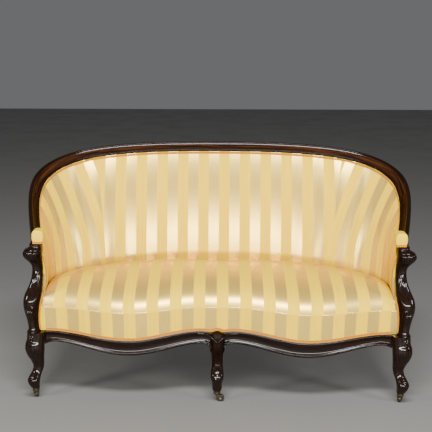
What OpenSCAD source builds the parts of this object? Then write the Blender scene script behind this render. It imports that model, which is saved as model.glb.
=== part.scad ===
// Basket-backed sofa with a double-serpentine front on three cabriole legs.
// X runs along the seat to the viewer's right, Y from front to back, Z up.
// The front legs' line is y = 0 until placed() centres the sofa on its own box.

/* [Crest rail] */
// Width over the crest rail where it is widest
crest_w = 1734; // [1600:1:1850]
// From the front legs' line to the rear face of the crest rail
crest_depth = 735; // [700:1:780]
// Height of the crest rail's top above the floor
crest_h = 1034; // [980:1:1100]
// From the front legs' line to the place where the crest is widest
crest_side_y = 360; // [330:1:400]
// Thickness of the crest rail, from its inner to its outer face
rail_t = 46; // [42:1:50]
// Height of the crest rail's section
rail_h = 44; // [40:1:48]

/* [Arms] */
// How far the arm rails' centre lines stand outside the corner legs' at the front
arm_spread = 3; // [-20:1:20]
// Height of the arm rails' top at their front ends
arm_h = 690; // [660:1:720]
// From the front legs' line to the rear faces of the arm supports
arm_back_y = 46; // [44:1:50]
// How far inside the corner legs' centre lines the arm supports' inner faces stand
support_set = 32; // [28:1:40]
// Largest width of an arm support, at its knee
support_w = 83; // [70:1:88]
// Largest depth of an arm support, at its knee
support_d = 80; // [60:1:90]
// Length of the padded arm rests
pad_len = 100; // [80:1:140]
// Width of the padded arm rests
pad_w = 55; // [50:1:60]
// Height of the padded arm rests above the arm rail
pad_h = 40; // [30:1:50]

/* [Seat frame] */
// How far the side rails' centre lines stand outside the corner legs' at the front
frame_spread = 15; // [8:1:20]
// From the front legs' line to the centre line of the back rail
frame_depth = 580; // [550:1:600]
// Height of the underside of the side and back rails
rail_low = 262; // [250:1:275]
// Height of the side and back rails
seat_rail_h = 78; // [70:1:90]
// Thickness of the side and back rails
seat_rail_t = 32; // [28:1:34]
// How far the two bays of the front rail swell forward
bay_swell = 35; // [20:1:40]
// How far the top moulding of the front rail dips in each bay
bay_dip = 31; // [15:1:34]
// How far the lower edge of the front rail dips in each bay
bay_drop = 50; // [30:1:55]
// How much the top moulding rises on each side of the centre leg
centre_rise = 9; // [0:1:12]
// Height of the front rail's carved face at its ends
front_face_h = 48; // [44:1:52]
// Depth of the front rail from its face to the rear of its board
front_rail_d = 30; // [28:1:34]
// Size of the rear posts along the back
post_w = 44; // [36:1:54]
// Rake of the rear feet behind the back rail
rear_rake = 62; // [30:1:90]
// Side of the rear feet at the floor
rear_foot = 34; // [28:1:40]

/* [Front legs] */
// Distance between the centre lines of the two corner legs
leg_span = 1564; // [1560:1:1570]
// Largest width of a corner leg, at its knee
leg_w = 81; // [76:1:84]
// Largest width of the centre leg
centre_leg_w = 60; // [50:1:66]
// How far the cabriole curve reaches out at the toes
leg_reach = 24; // [14:1:28]

/* [Upholstery] */
// Height of the seat's front edge, where it starts to roll over
seat_front_h = 500; // [480:1:520]
// Height of the seat where it meets the back
seat_back_h = 466; // [455:1:480]
// Height of the crown of the seat
seat_crown_h = 548; // [525:1:560]
// How far the seat's front border swells
border_swell = 8; // [2:1:9]
// Thickest padding of the back
back_pad = 42; // [25:1:50]
// Thickness of the covering cloths
cloth_t = 1.5; // [1:0.1:2]
// Width of the gimp along the front rail
gimp_w = 12; // [8:1:14]
// Thickness of the gimp
gimp_t = 3; // [2:0.5:4]

/* [Springs] */
// Radius of the seat springs at their ends
spring_r = 40; // [34:1:46]
// Radius of the seat springs at the waist
spring_waist_r = 28; // [22:1:32]
// Radius of the spring wire
wire_r = 1.9; // [1.5:0.1:2.5]

/* [Casters] */
// Diameter of the caster wheels
wheel_d = 32; // [28:1:34]
// Width of the caster wheels
wheel_t = 14; // [10:1:16]
// Distance from the swivel line back to the axle
trail = 15; // [12:1:18]
// Height of the caster's cup above its base
cup_h = 12; // [8:1:15]
// Outer radius of the cup
cup_r = 15; // [14:0.5:16]
// Radius of the swivel stem
stem_r = 3; // [2.5:0.1:3.5]
// Radius of the axle
axle_r = 2.5; // [2:0.1:3]

/* [Hidden] */

// Gaps, clearances and the overrun of cuts
seat_gap = 0.3;
run_gap = 0.05;
overrun = 1;
layer_gap = 2;

// Colours
dark_wood = "#2b1712";
red_wood = "#4a2216";
plain_wood = "#8a6a45";
gold_satin = "#e6cf86";
gimp_gold = "#cf9a52";
linen = "#b9a684";
horsehair = "#6b5842";
black_cloth = "#2a2826";
brass = "#8d7437";
steel = "#6d6f72";

// Plan of the crest rail: how square its curve is, and the share of the way that the arms take
crest_power = 2.6;
seat_power = 2.5;
arm_share = 0.25;
post_share = 16 / 24;
seam_share = 18 / 24;
upright_share = 21 / 24;
way_step = 1 / 24;
slope_step = 0.001;
arm_angle = 18;
fan_power = 1.27;
crest_half = (crest_w - rail_t) / 2;
leg_x = leg_span / 2;
arm_half = leg_x + arm_spread;
frame_half = leg_x + frame_spread;
start_y = arm_back_y + seat_gap;
crest_rear = crest_depth - rail_t / 2;
rail_top = rail_low + seat_rail_h;
tack_h = 35;
tack_top = seat_back_h - tack_h;
tack_t = 22;
post_zone = seat_rail_t / 2 - layer_gap;
post_ease = 3;
post_drop = 1;
post_half = post_zone - post_ease;

// Share of the crest's rise reached at a share of the way back
rise_shares = [[0, 0], [0.05, 0.006], [0.2, 0.115], [0.36, 0.335], [0.5, 0.55], [0.7, 0.75], [0.88, 0.915],
  [1, 1]];
// Moulded section of the crest rail, as shares of its thickness (outwards) and height (up)
crest_section_shares = [[-0.40, -0.50], [-0.49, -0.46], [-0.52, -0.38], [-0.49, -0.29], [-0.42, -0.25],
  [-0.24, -0.12], [-0.06, 0.08], [0.10, 0.29], [0.13, 0.42], [0.22, 0.50], [0.34, 0.50], [0.46, 0.42],
  [0.50, 0.28], [0.50, -0.50]];
// Padding of the back, as shares of its depth, against the share of its height
pad_shares = [[0, 0.5], [0.1, 0.78], [0.3, 0.97], [0.5, 1], [0.7, 0.86], [0.88, 0.5], [0.98, 0.14],
  [1, 0.06]];
pad_rows = [0, 0.1, 0.3, 0.5, 0.7, 0.85, 0.94, 0.98, 1];
back_rows = [0, 0.5, 1];
back_bow = 1;
front_fill_share = 0.6;
fill_way = 0.16;
gimp_row = 0.98;

// Corner leg: share of height, share of reach, share of half width
corner_leg_shares = [[0, 0.62, 0.42], [0.064, 0.88, 0.55], [0.148, 1, 0.66], [0.225, 0.62, 0.6],
  [0.302, 0.1, 0.555], [0.386, -0.15, 0.565], [0.482, 0.02, 0.68], [0.597, 0.36, 0.88], [0.7, 0.5, 1],
  [0.789, 0.42, 1], [0.866, 0.15, 0.97], [1, 0, 0.97]];
// Centre leg: the same shares
centre_leg_shares = [[0, 0.62, 0.5], [0.1, 0.75, 0.68], [0.17, 0.92, 0.72], [0.24, 1, 0.92],
  [0.31, 0.8, 0.94], [0.4, 0.25, 0.8], [0.5, -0.1, 0.78], [0.62, 0.05, 0.84], [0.74, 0.3, 0.94],
  [0.85, 0.2, 0.99], [1, 0, 1]];
// Arm support: share of height, of outer reach, of inner reach, of depth
support_shares = [[0, 0.8, 0.25, 0.95], [0.053, 0.78, 0.28, 0.88], [0.158, 0.86, 0.28, 0.88],
  [0.263, 0.98, 0.23, 0.95], [0.342, 1, 0.17, 1], [0.421, 0.94, 0.08, 0.9], [0.513, 0.75, 0.04, 0.68],
  [0.605, 0.6, 0.01, 0.53], [0.697, 0.54, 0, 0.45], [0.776, 0.62, 0, 0.53], [0.832, 0.88, 0, 0.7],
  [0.879, 0.99, 0, 0.82], [0.932, 0.95, 0, 0.8], [0.968, 0.72, 0.02, 0.68], [1, 0.57, 0.07, 0.55]];
// Rear leg below the rail: share of height, share of rake, share of the way from foot size to post size
rear_leg_shares = [[0, 1, 0], [0.25, 0.62, 0.1], [0.5, 0.3, 0.3], [0.75, 0.08, 0.65], [1, 0, 1]];
// Face of the front rail, from its lower rear edge up: share of its depth, share of its height
front_section_shares = [[0.53, 0], [0.13, 0], [-0.06, 0.05], [-0.13, 0.13], [-0.06, 0.22], [0.06, 0.28],
  [0.06, 0.7], [-0.02, 0.76], [-0.1, 0.84], [-0.12, 0.92], [-0.04, 1], [0.33, 1]];
// Keystone over the centre leg: share of its half width, share of its height
keystone_shares = [[0, 1], [0.2, 0.92], [0.45, 0.7], [0.75, 0.33], [1, 0]];
// Padded arm rest: share of its length, share of its full section
pad_end_shares = [[0, 0.74], [0.03, 0.9], [0.09, 0.98], [0.2, 1], [0.5, 1], [0.8, 0.98], [0.9, 0.92],
  [0.96, 0.8], [1, 0.6]];
leg_power = 2.6;
support_power = 3;
post_power = 6;
pad_power = 3;
ring_points = 12;
bay_steps = 12;
board_low = rail_low + overrun;
rise_share = 0.44;
rise_power = 0.6;
bracket_h = 12;
bracket_len = 50;

// Front legs and casters
leg_top = rail_low + front_face_h;
wheel_r = wheel_d / 2;
fork_top = wheel_d + 2;
fork_t = 3;
cheek_t = 2.5;
cheek_gap = 0.5;
axle_head_t = 1.5;
axle_head_r = 4;
boss_r = 5;
wheel_edge_share = 0.2;
plate_back = 7;
plate_front = 6;
stem_head_t = 2;
stem_head_r = 5;
head_room = 1;
cup_base = 4;
cup_low = fork_top + seat_gap;
leg_low = cup_low + cup_base;
cup_top = leg_low + cup_h;
spigot_r = cup_r - 2;
screw_r = 1.5;
screw_share = 0.6;
screw_len = 7;
screw_head_r = 2.6;
screw_head_t = 1.2;
foot_reach = leg_reach * corner_leg_shares[0][1];
rail_end_x = leg_x - leg_w / 2;
centre_half = centre_leg_w / 2;
keystone_h = 9;
keystone_t = 14;
block_out = 4;
diagonal = 45;
feet = [[-leg_x - foot_reach * cos(diagonal), -foot_reach * sin(diagonal)],
  [leg_x + foot_reach * cos(diagonal), -foot_reach * sin(diagonal)], [0, -foot_reach]];
// Turn of each caster at rest, and of the leg above it
caster_turns = [90, 90, 0];
leg_turns = [-180 + diagonal, -diagonal, -90];

// The whole sofa's depth, from the centre leg's toe to the crest rail
toe_half = centre_half * centre_leg_shares[3][2];
toe_y = -leg_reach - toe_half;
mid_y = (toe_y + crest_depth) / 2;

// Seat border: shares of its height, of its swell and of the spread of its front corners
seat_setback = 4;
seat_margin = 3;
seat_wall_rows = [[0, 0, 1], [0.61, 1, 0.9], [0.8, 0.9, 0.5], [0.95, 0.35, 0.15]];
// Scales of the plan for the rings over the seat's top
seat_top_shares = [0.975, 0.91, 0.8, 0.62, 0.34, 0.08];
corner_spread = 18;
seat_fall_power = 1.5;
bay_fold = 10;
end_fold = 8;
side_lift = 5;
cavity_gap = 0.5;
hollow_share = 0.675;
dome_sag = 14;
roll_len = 57;
seat_side_low = rail_top + side_lift;
board_setback = 10;
cavity_inset = board_setback - seat_setback - cavity_gap;
canvas_inset = board_setback - seat_setback + layer_gap;
seat_roof = rail_top + hollow_share * (min(seat_crown_h, seat_back_h) - rail_top);
support_x = leg_x - support_set;
corner_round = 8;
seat_step = 2 * way_step;

// Seat deck
spring_pitch = 200;
spring_rows = [150, 370];
spring_count = 6;
spring_turns = 4;
turn_steps = 7;
strap_places = [100, 200, 300, 400, 610];
strap_w = 50;
strap_t = 2;
strap_tack_share = 0.75;
strap_rows = [150, 260, 370];
stretcher_w = 40;
stretcher_h = 38;
block_h = 60;
block_size = 40;
dust_inset = 28;
dust_front = 36;

module placed() {
  translate([0, -mid_y, 0]) children();
}
module sided(side) {
  mirror([side < 0 ? 1 : 0, 0, 0]) children();
}

// Smooth curve through the rows of a table, from its first column to the column asked for
function row_at(table, x, i = 0) = i >= len(table) - 2 || x < table[i + 1][0] ? i : row_at(table, x, i + 1);
function slope_at(table, i, column) =
  let (a = max(i - 1, 0), b = min(i + 1, len(table) - 1))
  (table[b][column] - table[a][column]) / (table[b][0] - table[a][0]);
function smooth(table, x, column = 1) =
  let (i = row_at(table, x), p = table[i], q = table[i + 1], w = q[0] - p[0], t = (x - p[0]) / w)
  let (m = slope_at(table, i, column) * w, n = slope_at(table, i + 1, column) * w)
  (2 * pow(t, 3) - 3 * t * t + 1) * p[column] + (pow(t, 3) - 2 * t * t + t) * m
  + (3 * t * t - 2 * pow(t, 3)) * q[column] + (pow(t, 3) - t * t) * n;

function ease(t) = t * t * (3 - 2 * t);
function unit(v) = v / norm(v);
function squared_oval(a, b, power, angle) =
  let (c = cos(angle), s = sin(angle), k = pow(pow(abs(c), power) + pow(abs(s), power), 1 / power))
  [a * c / k, b * s / k];

// Closed solid through rings of equally many points, each quad split along its shorter diagonal
function ring_faces(rings, i, j) =
  let (n = len(rings[0]), k = (j + 1) % n, a = i * n + j, b = i * n + k, c = a + n, d = b + n)
  norm(rings[i][j] - rings[i + 1][k]) <= norm(rings[i][k] - rings[i + 1][j])
  ? [[a, d, b], [a, c, d]] : [[a, c, b], [b, c, d]];
// A sheet's ring runs up one side and back down the other, so its ends are closed across the sheet
function cap_faces(n, sheet) = sheet
  ? [for (j = [0 : n / 2 - 2]) each [[j, j + 1, n - 2 - j], [j, n - 2 - j, n - 1 - j]]]
  : [[for (j = [0 : n - 1]) j]];
module loft(rings, sheet = false) {
  n = len(rings[0]);
  last = len(rings) - 1;
  first_cap = cap_faces(n, sheet);
  last_cap = [for (face = first_cap) [for (j = [len(face) - 1 : -1 : 0]) last * n + face[j]]];
  sides = [for (i = [0 : last - 1], j = [0 : n - 1]) each ring_faces(rings, i, j)];
  polyhedron([for (ring = rings) each ring], concat(first_cap, last_cap, sides));
}

// The way round the basket runs from 0 at the left arm's front, by 1 in the middle of the back, to 2
function half_way(way) = way <= 1 ? way : 2 - way;
function hand(way) = way <= 1 ? -1 : 1;
function back_angle(share) = 90 * share;

// Centre line of the crest and arm rails
function crest_half_plan(way) = way < arm_share
  ? let (t = 1 - way / arm_share)
    [crest_half - (crest_half - arm_half) * ease(min(t, 1)), crest_side_y - (crest_side_y - start_y) * t]
  : [0, crest_side_y] + squared_oval(crest_half, crest_rear - crest_side_y, crest_power,
      back_angle((way - arm_share) / (1 - arm_share)));
function crest_rise(y) = smooth(rise_shares, max(0, (y - start_y) / (crest_rear - start_y)));
function crest_at(way) =
  let (p = crest_half_plan(half_way(way)))
  [hand(way) * p.x, p.y, arm_h - rail_h / 2 + (crest_h - arm_h) * crest_rise(p.y)];
function heading(way) = unit(crest_at(way + slope_step) - crest_at(way - slope_step));
function outward(way) = let (t = heading(way)) unit([-t.y, t.x, 0]);
function upward(way) = cross(heading(way), outward(way));

// Centre line of the seat frame, at the top of its rails
function base_angle(way) = way < arm_share
  ? arm_angle * way / arm_share
  : arm_angle + (90 - arm_angle) * pow((way - arm_share) / (1 - arm_share), fan_power);
function base_at(way) =
  let (p = squared_oval(frame_half, frame_depth - start_y, seat_power, base_angle(half_way(way))))
  [hand(way) * p.x, start_y + p.y, rail_top];
function under_crest(way) = crest_at(way) - (rail_h / 2 + seat_gap) * upward(way);

// A place in the wall of the basket: the way round, the share of the height, the distance outwards
function wall_at(way, share, out) =
  base_at(way) + share * (under_crest(way) - base_at(way)) + out * outward(way);
function share_at(way, z) = (z - rail_top) / (under_crest(way).z - rail_top);
function pad_share(way, row) = let (low = share_at(way, tack_top)) low + (1 - low) * row;
function fill(way) =
  let (t = min(1, half_way(way) / fill_way)) front_fill_share + (1 - front_fill_share) * ease(t);
function pad_depth(way, row) = back_pad * smooth(pad_shares, row) * (row > gimp_row ? 1 : fill(way));
function ways(from, to) = [for (i = [round(from / way_step) : round(to / way_step)]) i * way_step];

// Levels of the layers in the wall, outwards from its middle
canvas_out = -seat_rail_t / 2 - seat_gap;
stuffing_out = canvas_out - cloth_t - seat_gap;
outer_cloth = seat_rail_t / 2 + seat_gap;

function pad_face(way, depth) =
  [for (row = pad_rows) wall_at(way, pad_share(way, row), stuffing_out - pad_depth(way, row) - depth)];
function bowed(out, row) = out + sign(out) * back_bow * 4 * row * (1 - row);
function backing(way, out) = [for (row = back_rows) wall_at(way, pad_share(way, row), bowed(out, row))];
function reversed(list) = [for (i = [len(list) - 1 : -1 : 0]) list[i]];

// Crest and arm rails
function crest_ring(way) =
  let (c = crest_at(way), n = outward(way), b = upward(way))
  [for (p = reversed(crest_section_shares)) c + p.x * rail_t * n + p.y * rail_h * b];
module crest_length(from, to) {
  loft([for (way = ways(from, to)) crest_ring(way)]);
}
module crest_rail_centre() {
  color(red_wood) placed() crest_length(post_share, 2 - post_share);
}
module crest_shoulder(side) {
  color(red_wood) placed()
    crest_length(side < 0 ? arm_share : 2 - post_share, side < 0 ? post_share : 2 - arm_share);
}
module arm_rail(side) {
  color(dark_wood) placed() crest_length(side < 0 ? 0 : 2 - arm_share, side < 0 ? arm_share : 2);
}

// Ring of a leg or arm support: a squared oval in plan
function plan_ring(x, y, z, half_x, half_y, power) =
  [for (j = [0 : ring_points - 1]) let (p = squared_oval(half_x, half_y, power, 360 * j / ring_points))
    [x + p.x, y + p.y, z]];
// Places of a table's rows and of the points halfway between them
function halves(table, i) = (table[floor(i / 2)][0] + table[ceil(i / 2)][0]) / 2;
function finer(table) = [for (i = [0 : 2 * len(table) - 2]) halves(table, i)];

module arm_support(side) {
  function support_ring(t) =
    let (outer = smooth(support_shares, t, 1) * support_w, inner = smooth(support_shares, t, 2) * support_w)
    let (depth = smooth(support_shares, t, 3) * support_d)
    plan_ring(support_x + (outer + inner) / 2, arm_back_y - depth / 2, leg_top + t * (arm_h - leg_top),
      (outer - inner) / 2, depth / 2, support_power);
  color(dark_wood) placed() sided(side) loft([for (t = finer(support_shares)) support_ring(t)]);
}

// Front legs
module cabriole(table, width, turn) {
  function leg_ring(t) =
    let (reach = smooth(table, t, 1) * leg_reach, half = smooth(table, t, 2) * width / 2)
    plan_ring(reach * cos(turn), reach * sin(turn), cup_top + t * (leg_top - cup_top), half, half, leg_power);
  loft([for (t = finer(table)) leg_ring(t)]);
}
module spigot(i) {
  difference() {
    translate([feet[i].x, feet[i].y, leg_low]) cylinder(r = spigot_r, h = cup_h, $fn = 48);
    translate([feet[i].x, feet[i].y, leg_low - overrun])
      cylinder(r = stem_head_r + head_room, h = stem_head_t + head_room + overrun, $fn = 32);
    screw_at(i) cylinder(r = screw_r, h = screw_len + overrun, $fn = 24);
  }
}
module corner_leg(i, side) {
  block_w = base_at(2).x + seat_rail_t / 2 - rail_end_x;
  color(dark_wood) placed() {
    translate([side * leg_x, 0, 0]) cabriole(corner_leg_shares, leg_w, leg_turns[i]);
    sided(side) translate([rail_end_x, -block_out, rail_low])
      cube([block_w, arm_back_y + block_out, front_face_h]);
    spigot(i);
  }
}
function keystone_rise(x) =
  abs(x) >= centre_half ? 0 : keystone_h * lookup(abs(x) / centre_half, keystone_shares);
function keystone_stations() = concat([for (p = reversed(keystone_shares)) -p.x * centre_half],
  [for (i = [1 : len(keystone_shares) - 1]) keystone_shares[i].x * centre_half]);
module front_leg_centre() {
  color(dark_wood) placed() {
    cabriole(centre_leg_shares, centre_leg_w, leg_turns[2]);
    translate([0, seat_setback - 2 * seat_gap - overrun, leg_top]) rotate([90, 0, 0])
      linear_extrude(keystone_t) polygon([for (x = keystone_stations()) [x, keystone_rise(x)]]);
    translate([-centre_half, board_setback, leg_top - overrun])
      cube([centre_leg_w, front_rail_d - board_setback, rail_top - leg_top + overrun]);
    spigot(2);
  }
}

// Front rail: one serpentine bay on each side of the centre leg
function bay_wave(x) =
  let (t = (abs(x) - centre_half) / (rail_end_x - centre_half)) t <= 0 || t >= 1 ? 0 : (1 - cos(360 * t)) / 2;
function bay_x(i) = centre_half + (rail_end_x - centre_half) * i / bay_steps;
function front_stations(end_x) = concat([-end_x], [for (i = [bay_steps - 1 : -1 : 0]) -min(bay_x(i), end_x)],
  [for (i = [0 : bay_steps - 1]) min(bay_x(i), end_x)], [end_x]);
function centre_wave(x) =
  let (t = (abs(x) - centre_half) / (rail_end_x - centre_half) / rise_share)
  t <= 0 || t >= 1 ? 0 : sin(180 * pow(t, rise_power));
function bracket(x) =
  let (near = min(abs(x) - centre_half, rail_end_x - abs(x))) pow(max(0, 1 - near / bracket_len), 2);
function face_y(x) = -bay_swell * bay_wave(x);
function face_top(x) = leg_top - bay_dip * bay_wave(x) + centre_rise * centre_wave(x);
function face_low(x) = rail_low - bay_drop * bay_wave(x) - bracket_h * bracket(x);
module front_rail(side) {
  function bay_ring(x) = let (y = face_y(x), low = face_low(x), high = face_top(x))
    reversed(concat([for (p = front_section_shares) [x, y + p.x * front_rail_d, low + p.y * (high - low)]],
      [[x, y + board_setback, rail_top], [x, y + front_rail_d, rail_top], [x, y + front_rail_d, board_low],
       [x, y + front_section_shares[0].x * front_rail_d, board_low]]));
  color(dark_wood) placed() sided(side)
    loft([for (i = [0 : bay_steps]) bay_ring(bay_x(i))]);
}

// Side and back rails, and the rear legs that run up as back posts
function flat(v) = unit([v.x, v.y, 0]);
post_end = post_w / 2 + seat_gap;
function rail_edge(way, out) = wall_at(way, 0, out * seat_rail_t / 2);
rail_drop = [0, 0, -seat_rail_h];
function rail_ring_of(outer, inner) = [outer + rail_drop, outer, inner, inner + rail_drop];
function rail_ring(way) = rail_ring_of(rail_edge(way, 1), rail_edge(way, -1));
// Place on the way from a post to the next station, just clear of the post
function post_edge(way, next, out) =
  let (p = rail_edge(way, out), step = rail_edge(next, out) - p, c = base_at(way), along = flat(heading(way)))
  let (side = step * along > 0 ? 1 : -1) p + step * (side * post_end - (p - c) * along) / (step * along);
function post_end_ring(way, next) = rail_ring_of(post_edge(way, next, 1), post_edge(way, next, -1));
module side_rail(side) {
  last = post_share - way_step;
  color(plain_wood) placed() sided(-side)
    loft(concat([for (way = ways(0, last)) rail_ring(way)], [post_end_ring(post_share, last)]));
}
module back_rail() {
  first = post_share + way_step;
  last = 2 - first;
  color(plain_wood) placed() loft(concat([post_end_ring(post_share, first)],
    [for (way = ways(first, last)) rail_ring(way)], [post_end_ring(2 - post_share, last)]));
}
function post_ring(c, along, out, half_along, half_out) =
  [for (j = [0 : ring_points - 1])
    let (p = squared_oval(half_along, half_out, post_power, 360 * j / ring_points))
      c + p.x * along + p.y * out];
module rear_leg(side) {
  c = base_at(post_share);
  n = outward(post_share);
  along = flat(heading(post_share));
  function leg_ring(row) =
    let (size = [rear_foot, rear_foot] + ([post_w, 2 * post_half] - [rear_foot, rear_foot]) * row[2])
    let (foot = [c.x, c.y, row[0] * rail_low] + row[1] * rear_rake * n)
    post_ring(foot, along, n, size.x / 2, size.y / 2);
  color(dark_wood) placed() sided(-side)
    loft(concat([for (row = rear_leg_shares) leg_ring(row)],
      [post_ring(c, along, n, post_w / 2, post_half),
       post_ring(under_crest(post_share) - [0, 0, post_drop], heading(post_share), n, post_w / 2, post_half)]));
}
module tack_length(from, to) {
  function tack_ring(way) =
    let (low = share_at(way, tack_top - tack_h / 2), high = share_at(way, tack_top + tack_h / 2))
    [wall_at(way, low, tack_t - post_zone), wall_at(way, high, tack_t - post_zone),
     wall_at(way, high, -post_zone), wall_at(way, low, -post_zone)];
  loft([for (way = ways(from, to)) tack_ring(way)]);
}
module back_tack_rail() {
  color(plain_wood) placed() tack_length(post_share + way_step, 2 - post_share - way_step);
}
module side_tack_rail(side) {
  color(plain_wood) placed() sided(-side) tack_length(0, post_share - way_step);
}
module back_uprights() {
  function upright_ring(way, c, along) = post_ring(c, along, outward(way), post_w / 2, post_half);
  color(plain_wood) placed() for (way = [upright_share, 2 - upright_share])
    loft([upright_ring(way, wall_at(way, share_at(way, tack_top + tack_h / 2), 0), flat(heading(way))),
      upright_ring(way, under_crest(way) - [0, 0, post_drop], heading(way))]);
}

// Seat frame's inner pieces
module seat_stretcher() {
  color(plain_wood) placed() translate([-stretcher_w / 2, front_rail_d + seat_gap, rail_low])
    cube([stretcher_w, frame_depth - seat_rail_t / 2 - front_rail_d - 2 * seat_gap, stretcher_h]);
}
module corner_blocks() {
  c = base_at(2 - post_share);
  n = outward(2 - post_share);
  block_z = rail_low + (seat_rail_h - block_h) / 2;
  color(plain_wood) placed() for (side = [-1, 1]) sided(side) {
    translate([c.x, c.y, block_z]) rotate(atan2(n.y, n.x))
      translate([-seat_rail_t / 2 - seat_gap - block_size, -block_size / 2, 0])
        cube([block_size, block_size, block_h]);
    translate([rail_end_x - block_size, front_rail_d + seat_gap, block_z])
      cube([block_size, block_size, block_h]);
  }
}
function back_line_y(x) =
  start_y + (frame_depth - start_y) * pow(1 - pow(abs(x) / frame_half, seat_power), 1 / seat_power);
function side_line_x(y) =
  frame_half * pow(1 - pow((y - start_y) / (frame_depth - start_y), seat_power), 1 / seat_power);
module seat_webbing() {
  color(linen) placed() {
    for (x = strap_places, side = [-1, 1])
      let (y = face_y(x) + strap_tack_share * front_rail_d)
        translate([side * x - strap_w / 2, y, rail_low - strap_t])
          cube([strap_w, back_line_y(x + strap_w / 2) - y, strap_t]);
    for (y = strap_rows) let (x = side_line_x(y + strap_w / 2))
      translate([-x, y - strap_w / 2, rail_low - 2 * strap_t]) cube([2 * x, strap_w, strap_t]);
  }
}
module spring() {
  low = rail_low + seat_gap + wire_r;
  rise = seat_roof - cloth_t - 3 * seat_gap - 2 * wire_r - rail_low;
  count = spring_turns * turn_steps;
  function coil_ring(i) =
    let (t = i / count, a = 360 * i / turn_steps, r = spring_r - (spring_r - spring_waist_r) * sin(180 * t))
    [for (j = [0 : 3]) let (reach = r + wire_r * cos(90 * j), lift = wire_r * sin(90 * j))
      [reach * cos(a), reach * sin(a), low + rise * t - lift]];
  loft([for (i = [0 : count]) coil_ring(i)]);
}
module seat_springs() {
  color(steel) placed() for (i = [0 : spring_count - 1], y = spring_rows)
    translate([(i - (spring_count - 1) / 2) * spring_pitch, y, 0]) spring();
}
module dust_cover() {
  edge = [for (way = ways(seat_step, 2 - seat_step))
    let (p = base_at(way) - dust_inset * outward(way)) [p.x, p.y]];
  end_x = edge[len(edge) - 1].x;
  front = [for (x = reversed(front_stations(end_x))) [x, face_y(x) + dust_front]];
  color(black_cloth) placed() translate([0, 0, rail_low - 2 * strap_t - seat_gap - cloth_t])
    linear_extrude(cloth_t) polygon(concat(edge, front));
}

// Seat padding and cover: nested caps over one outline
function row_of(way, z) = let (low = share_at(way, tack_top)) (share_at(way, z) - low) / (1 - low);
function seat_out(way) = stuffing_out - pad_depth(way, row_of(way, seat_back_h)) - cloth_t - seat_margin;
function side_place(way, inset) =
  let (p = wall_at(way, share_at(way, seat_back_h), seat_out(way) - inset)) [p.x, p.y, 0];
front_end_x = support_x - corner_round;
function front_place(x, inset, swell) = [x, face_y(x) + seat_setback + inset - swell * border_swell, 1];
function corner_place(side, inset) =
  [side * (support_x - 2 * seat_gap - inset), arm_back_y / 2 + inset, 1];
function seat_outline(inset, swell = 0, spread = 0) = concat(
  reversed([for (i = [1 : round(2 / seat_step) - 1]) side_place(i * seat_step, inset)]),
  [corner_place(-1, inset)],
  [for (x = front_stations(front_end_x + spread * corner_spread)) front_place(x, inset, swell)],
  [corner_place(1, inset)]);
function fold_z(p) = seat_back_h - bay_fold * bay_wave(p.x) * p.z
  + (seat_front_h - end_fold * pow(p.x / support_x, 2) - seat_back_h)
  * pow(max(0, 1 - p.y / frame_depth), seat_fall_power);
function border_low(p) = p.z > 0 ? face_top(p.x) + seat_gap : seat_side_low;
function wall_ring(row, depth) = [for (p = seat_outline(depth, row[1], row[2]))
  [p.x, p.y, border_low(p) + row[0] * (fold_z(p) - border_low(p))]];
function dome_ring(scale, depth) = let (middle = [0, frame_depth / 2, 0])
  [for (p = seat_outline(depth)) let (q = middle + scale * (p - middle), run = norm([p.x, p.y] - [middle.x, middle.y]))
    [q.x, q.y, seat_crown_h - dome_sag * scale * scale - depth
      - (seat_crown_h - dome_sag - fold_z(p)) * pow(scale, run / roll_len)]];
function flat_ring(scale, inset, z) = let (middle = [0, frame_depth / 2, 0])
  [for (p = seat_outline(inset)) let (q = middle + scale * (p - middle)) [q.x, q.y, z]];
function low_ring(inset) = [for (p = seat_outline(inset)) [p.x, p.y, border_low(p)]];
function cap_rings(depth) = concat([for (row = seat_wall_rows) wall_ring(row, depth)],
  [for (scale = seat_top_shares) dome_ring(scale, depth)]);
module seat_cover() {
  color(gold_satin) placed() loft(concat(reversed(cap_rings(cloth_t)), cap_rings(0)));
}
module seat_stuffing() {
  tip = seat_top_shares[len(seat_top_shares) - 1];
  color(horsehair) placed() loft(concat(
    [flat_ring(tip, cavity_inset, seat_roof), flat_ring(1, cavity_inset, seat_roof), low_ring(cavity_inset)],
    cap_rings(cloth_t + seat_gap)));
}
module spring_canvas() {
  tip = seat_top_shares[len(seat_top_shares) - 1];
  low = rail_top + seat_gap;
  high = seat_roof - seat_gap;
  inner = canvas_inset + cloth_t;
  color(linen) placed() loft([flat_ring(tip, inner, high - cloth_t), flat_ring(1, inner, high - cloth_t),
    flat_ring(1, inner, low), flat_ring(1, canvas_inset, low), flat_ring(1, canvas_inset, high),
    flat_ring(tip, canvas_inset, high)]);
}

// Upholstery of the back and arms
module back_canvas() {
  color(linen) placed() loft([for (way = ways(0, 2))
    concat(backing(way, canvas_out), reversed(backing(way, canvas_out - cloth_t)))], sheet = true);
}
module back_stuffing(from, to) {
  color(horsehair) placed() loft([for (way = ways(from, to))
    concat(backing(way, stuffing_out), reversed(pad_face(way, 0)))]);
}
module back_cover(from, to) {
  color(gold_satin) placed() loft([for (way = ways(from, to))
    concat(pad_face(way, seat_gap), reversed(pad_face(way, seat_gap + cloth_t)))], sheet = true);
}
module outer_back(from, to) {
  function outer_column(way, out) = concat([base_at(way) - [0, 0, seat_rail_h] + out * outward(way)],
    [for (row = back_rows) wall_at(way, row, bowed(out, row))]);
  color(gold_satin) placed() loft([for (way = ways(from, to))
    concat(outer_column(way, outer_cloth + cloth_t), reversed(outer_column(way, outer_cloth)))], sheet = true);
}
function rail_place(way, out, up) = crest_at(way) + out * outward(way) + up * upward(way);
function over_rail(way, out, up) =
  let (low = floor(way / way_step) * way_step, t = (way - low) / way_step)
  (1 - t) * rail_place(low, out, up) + t * rail_place(low + way_step, out, up);
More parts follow.
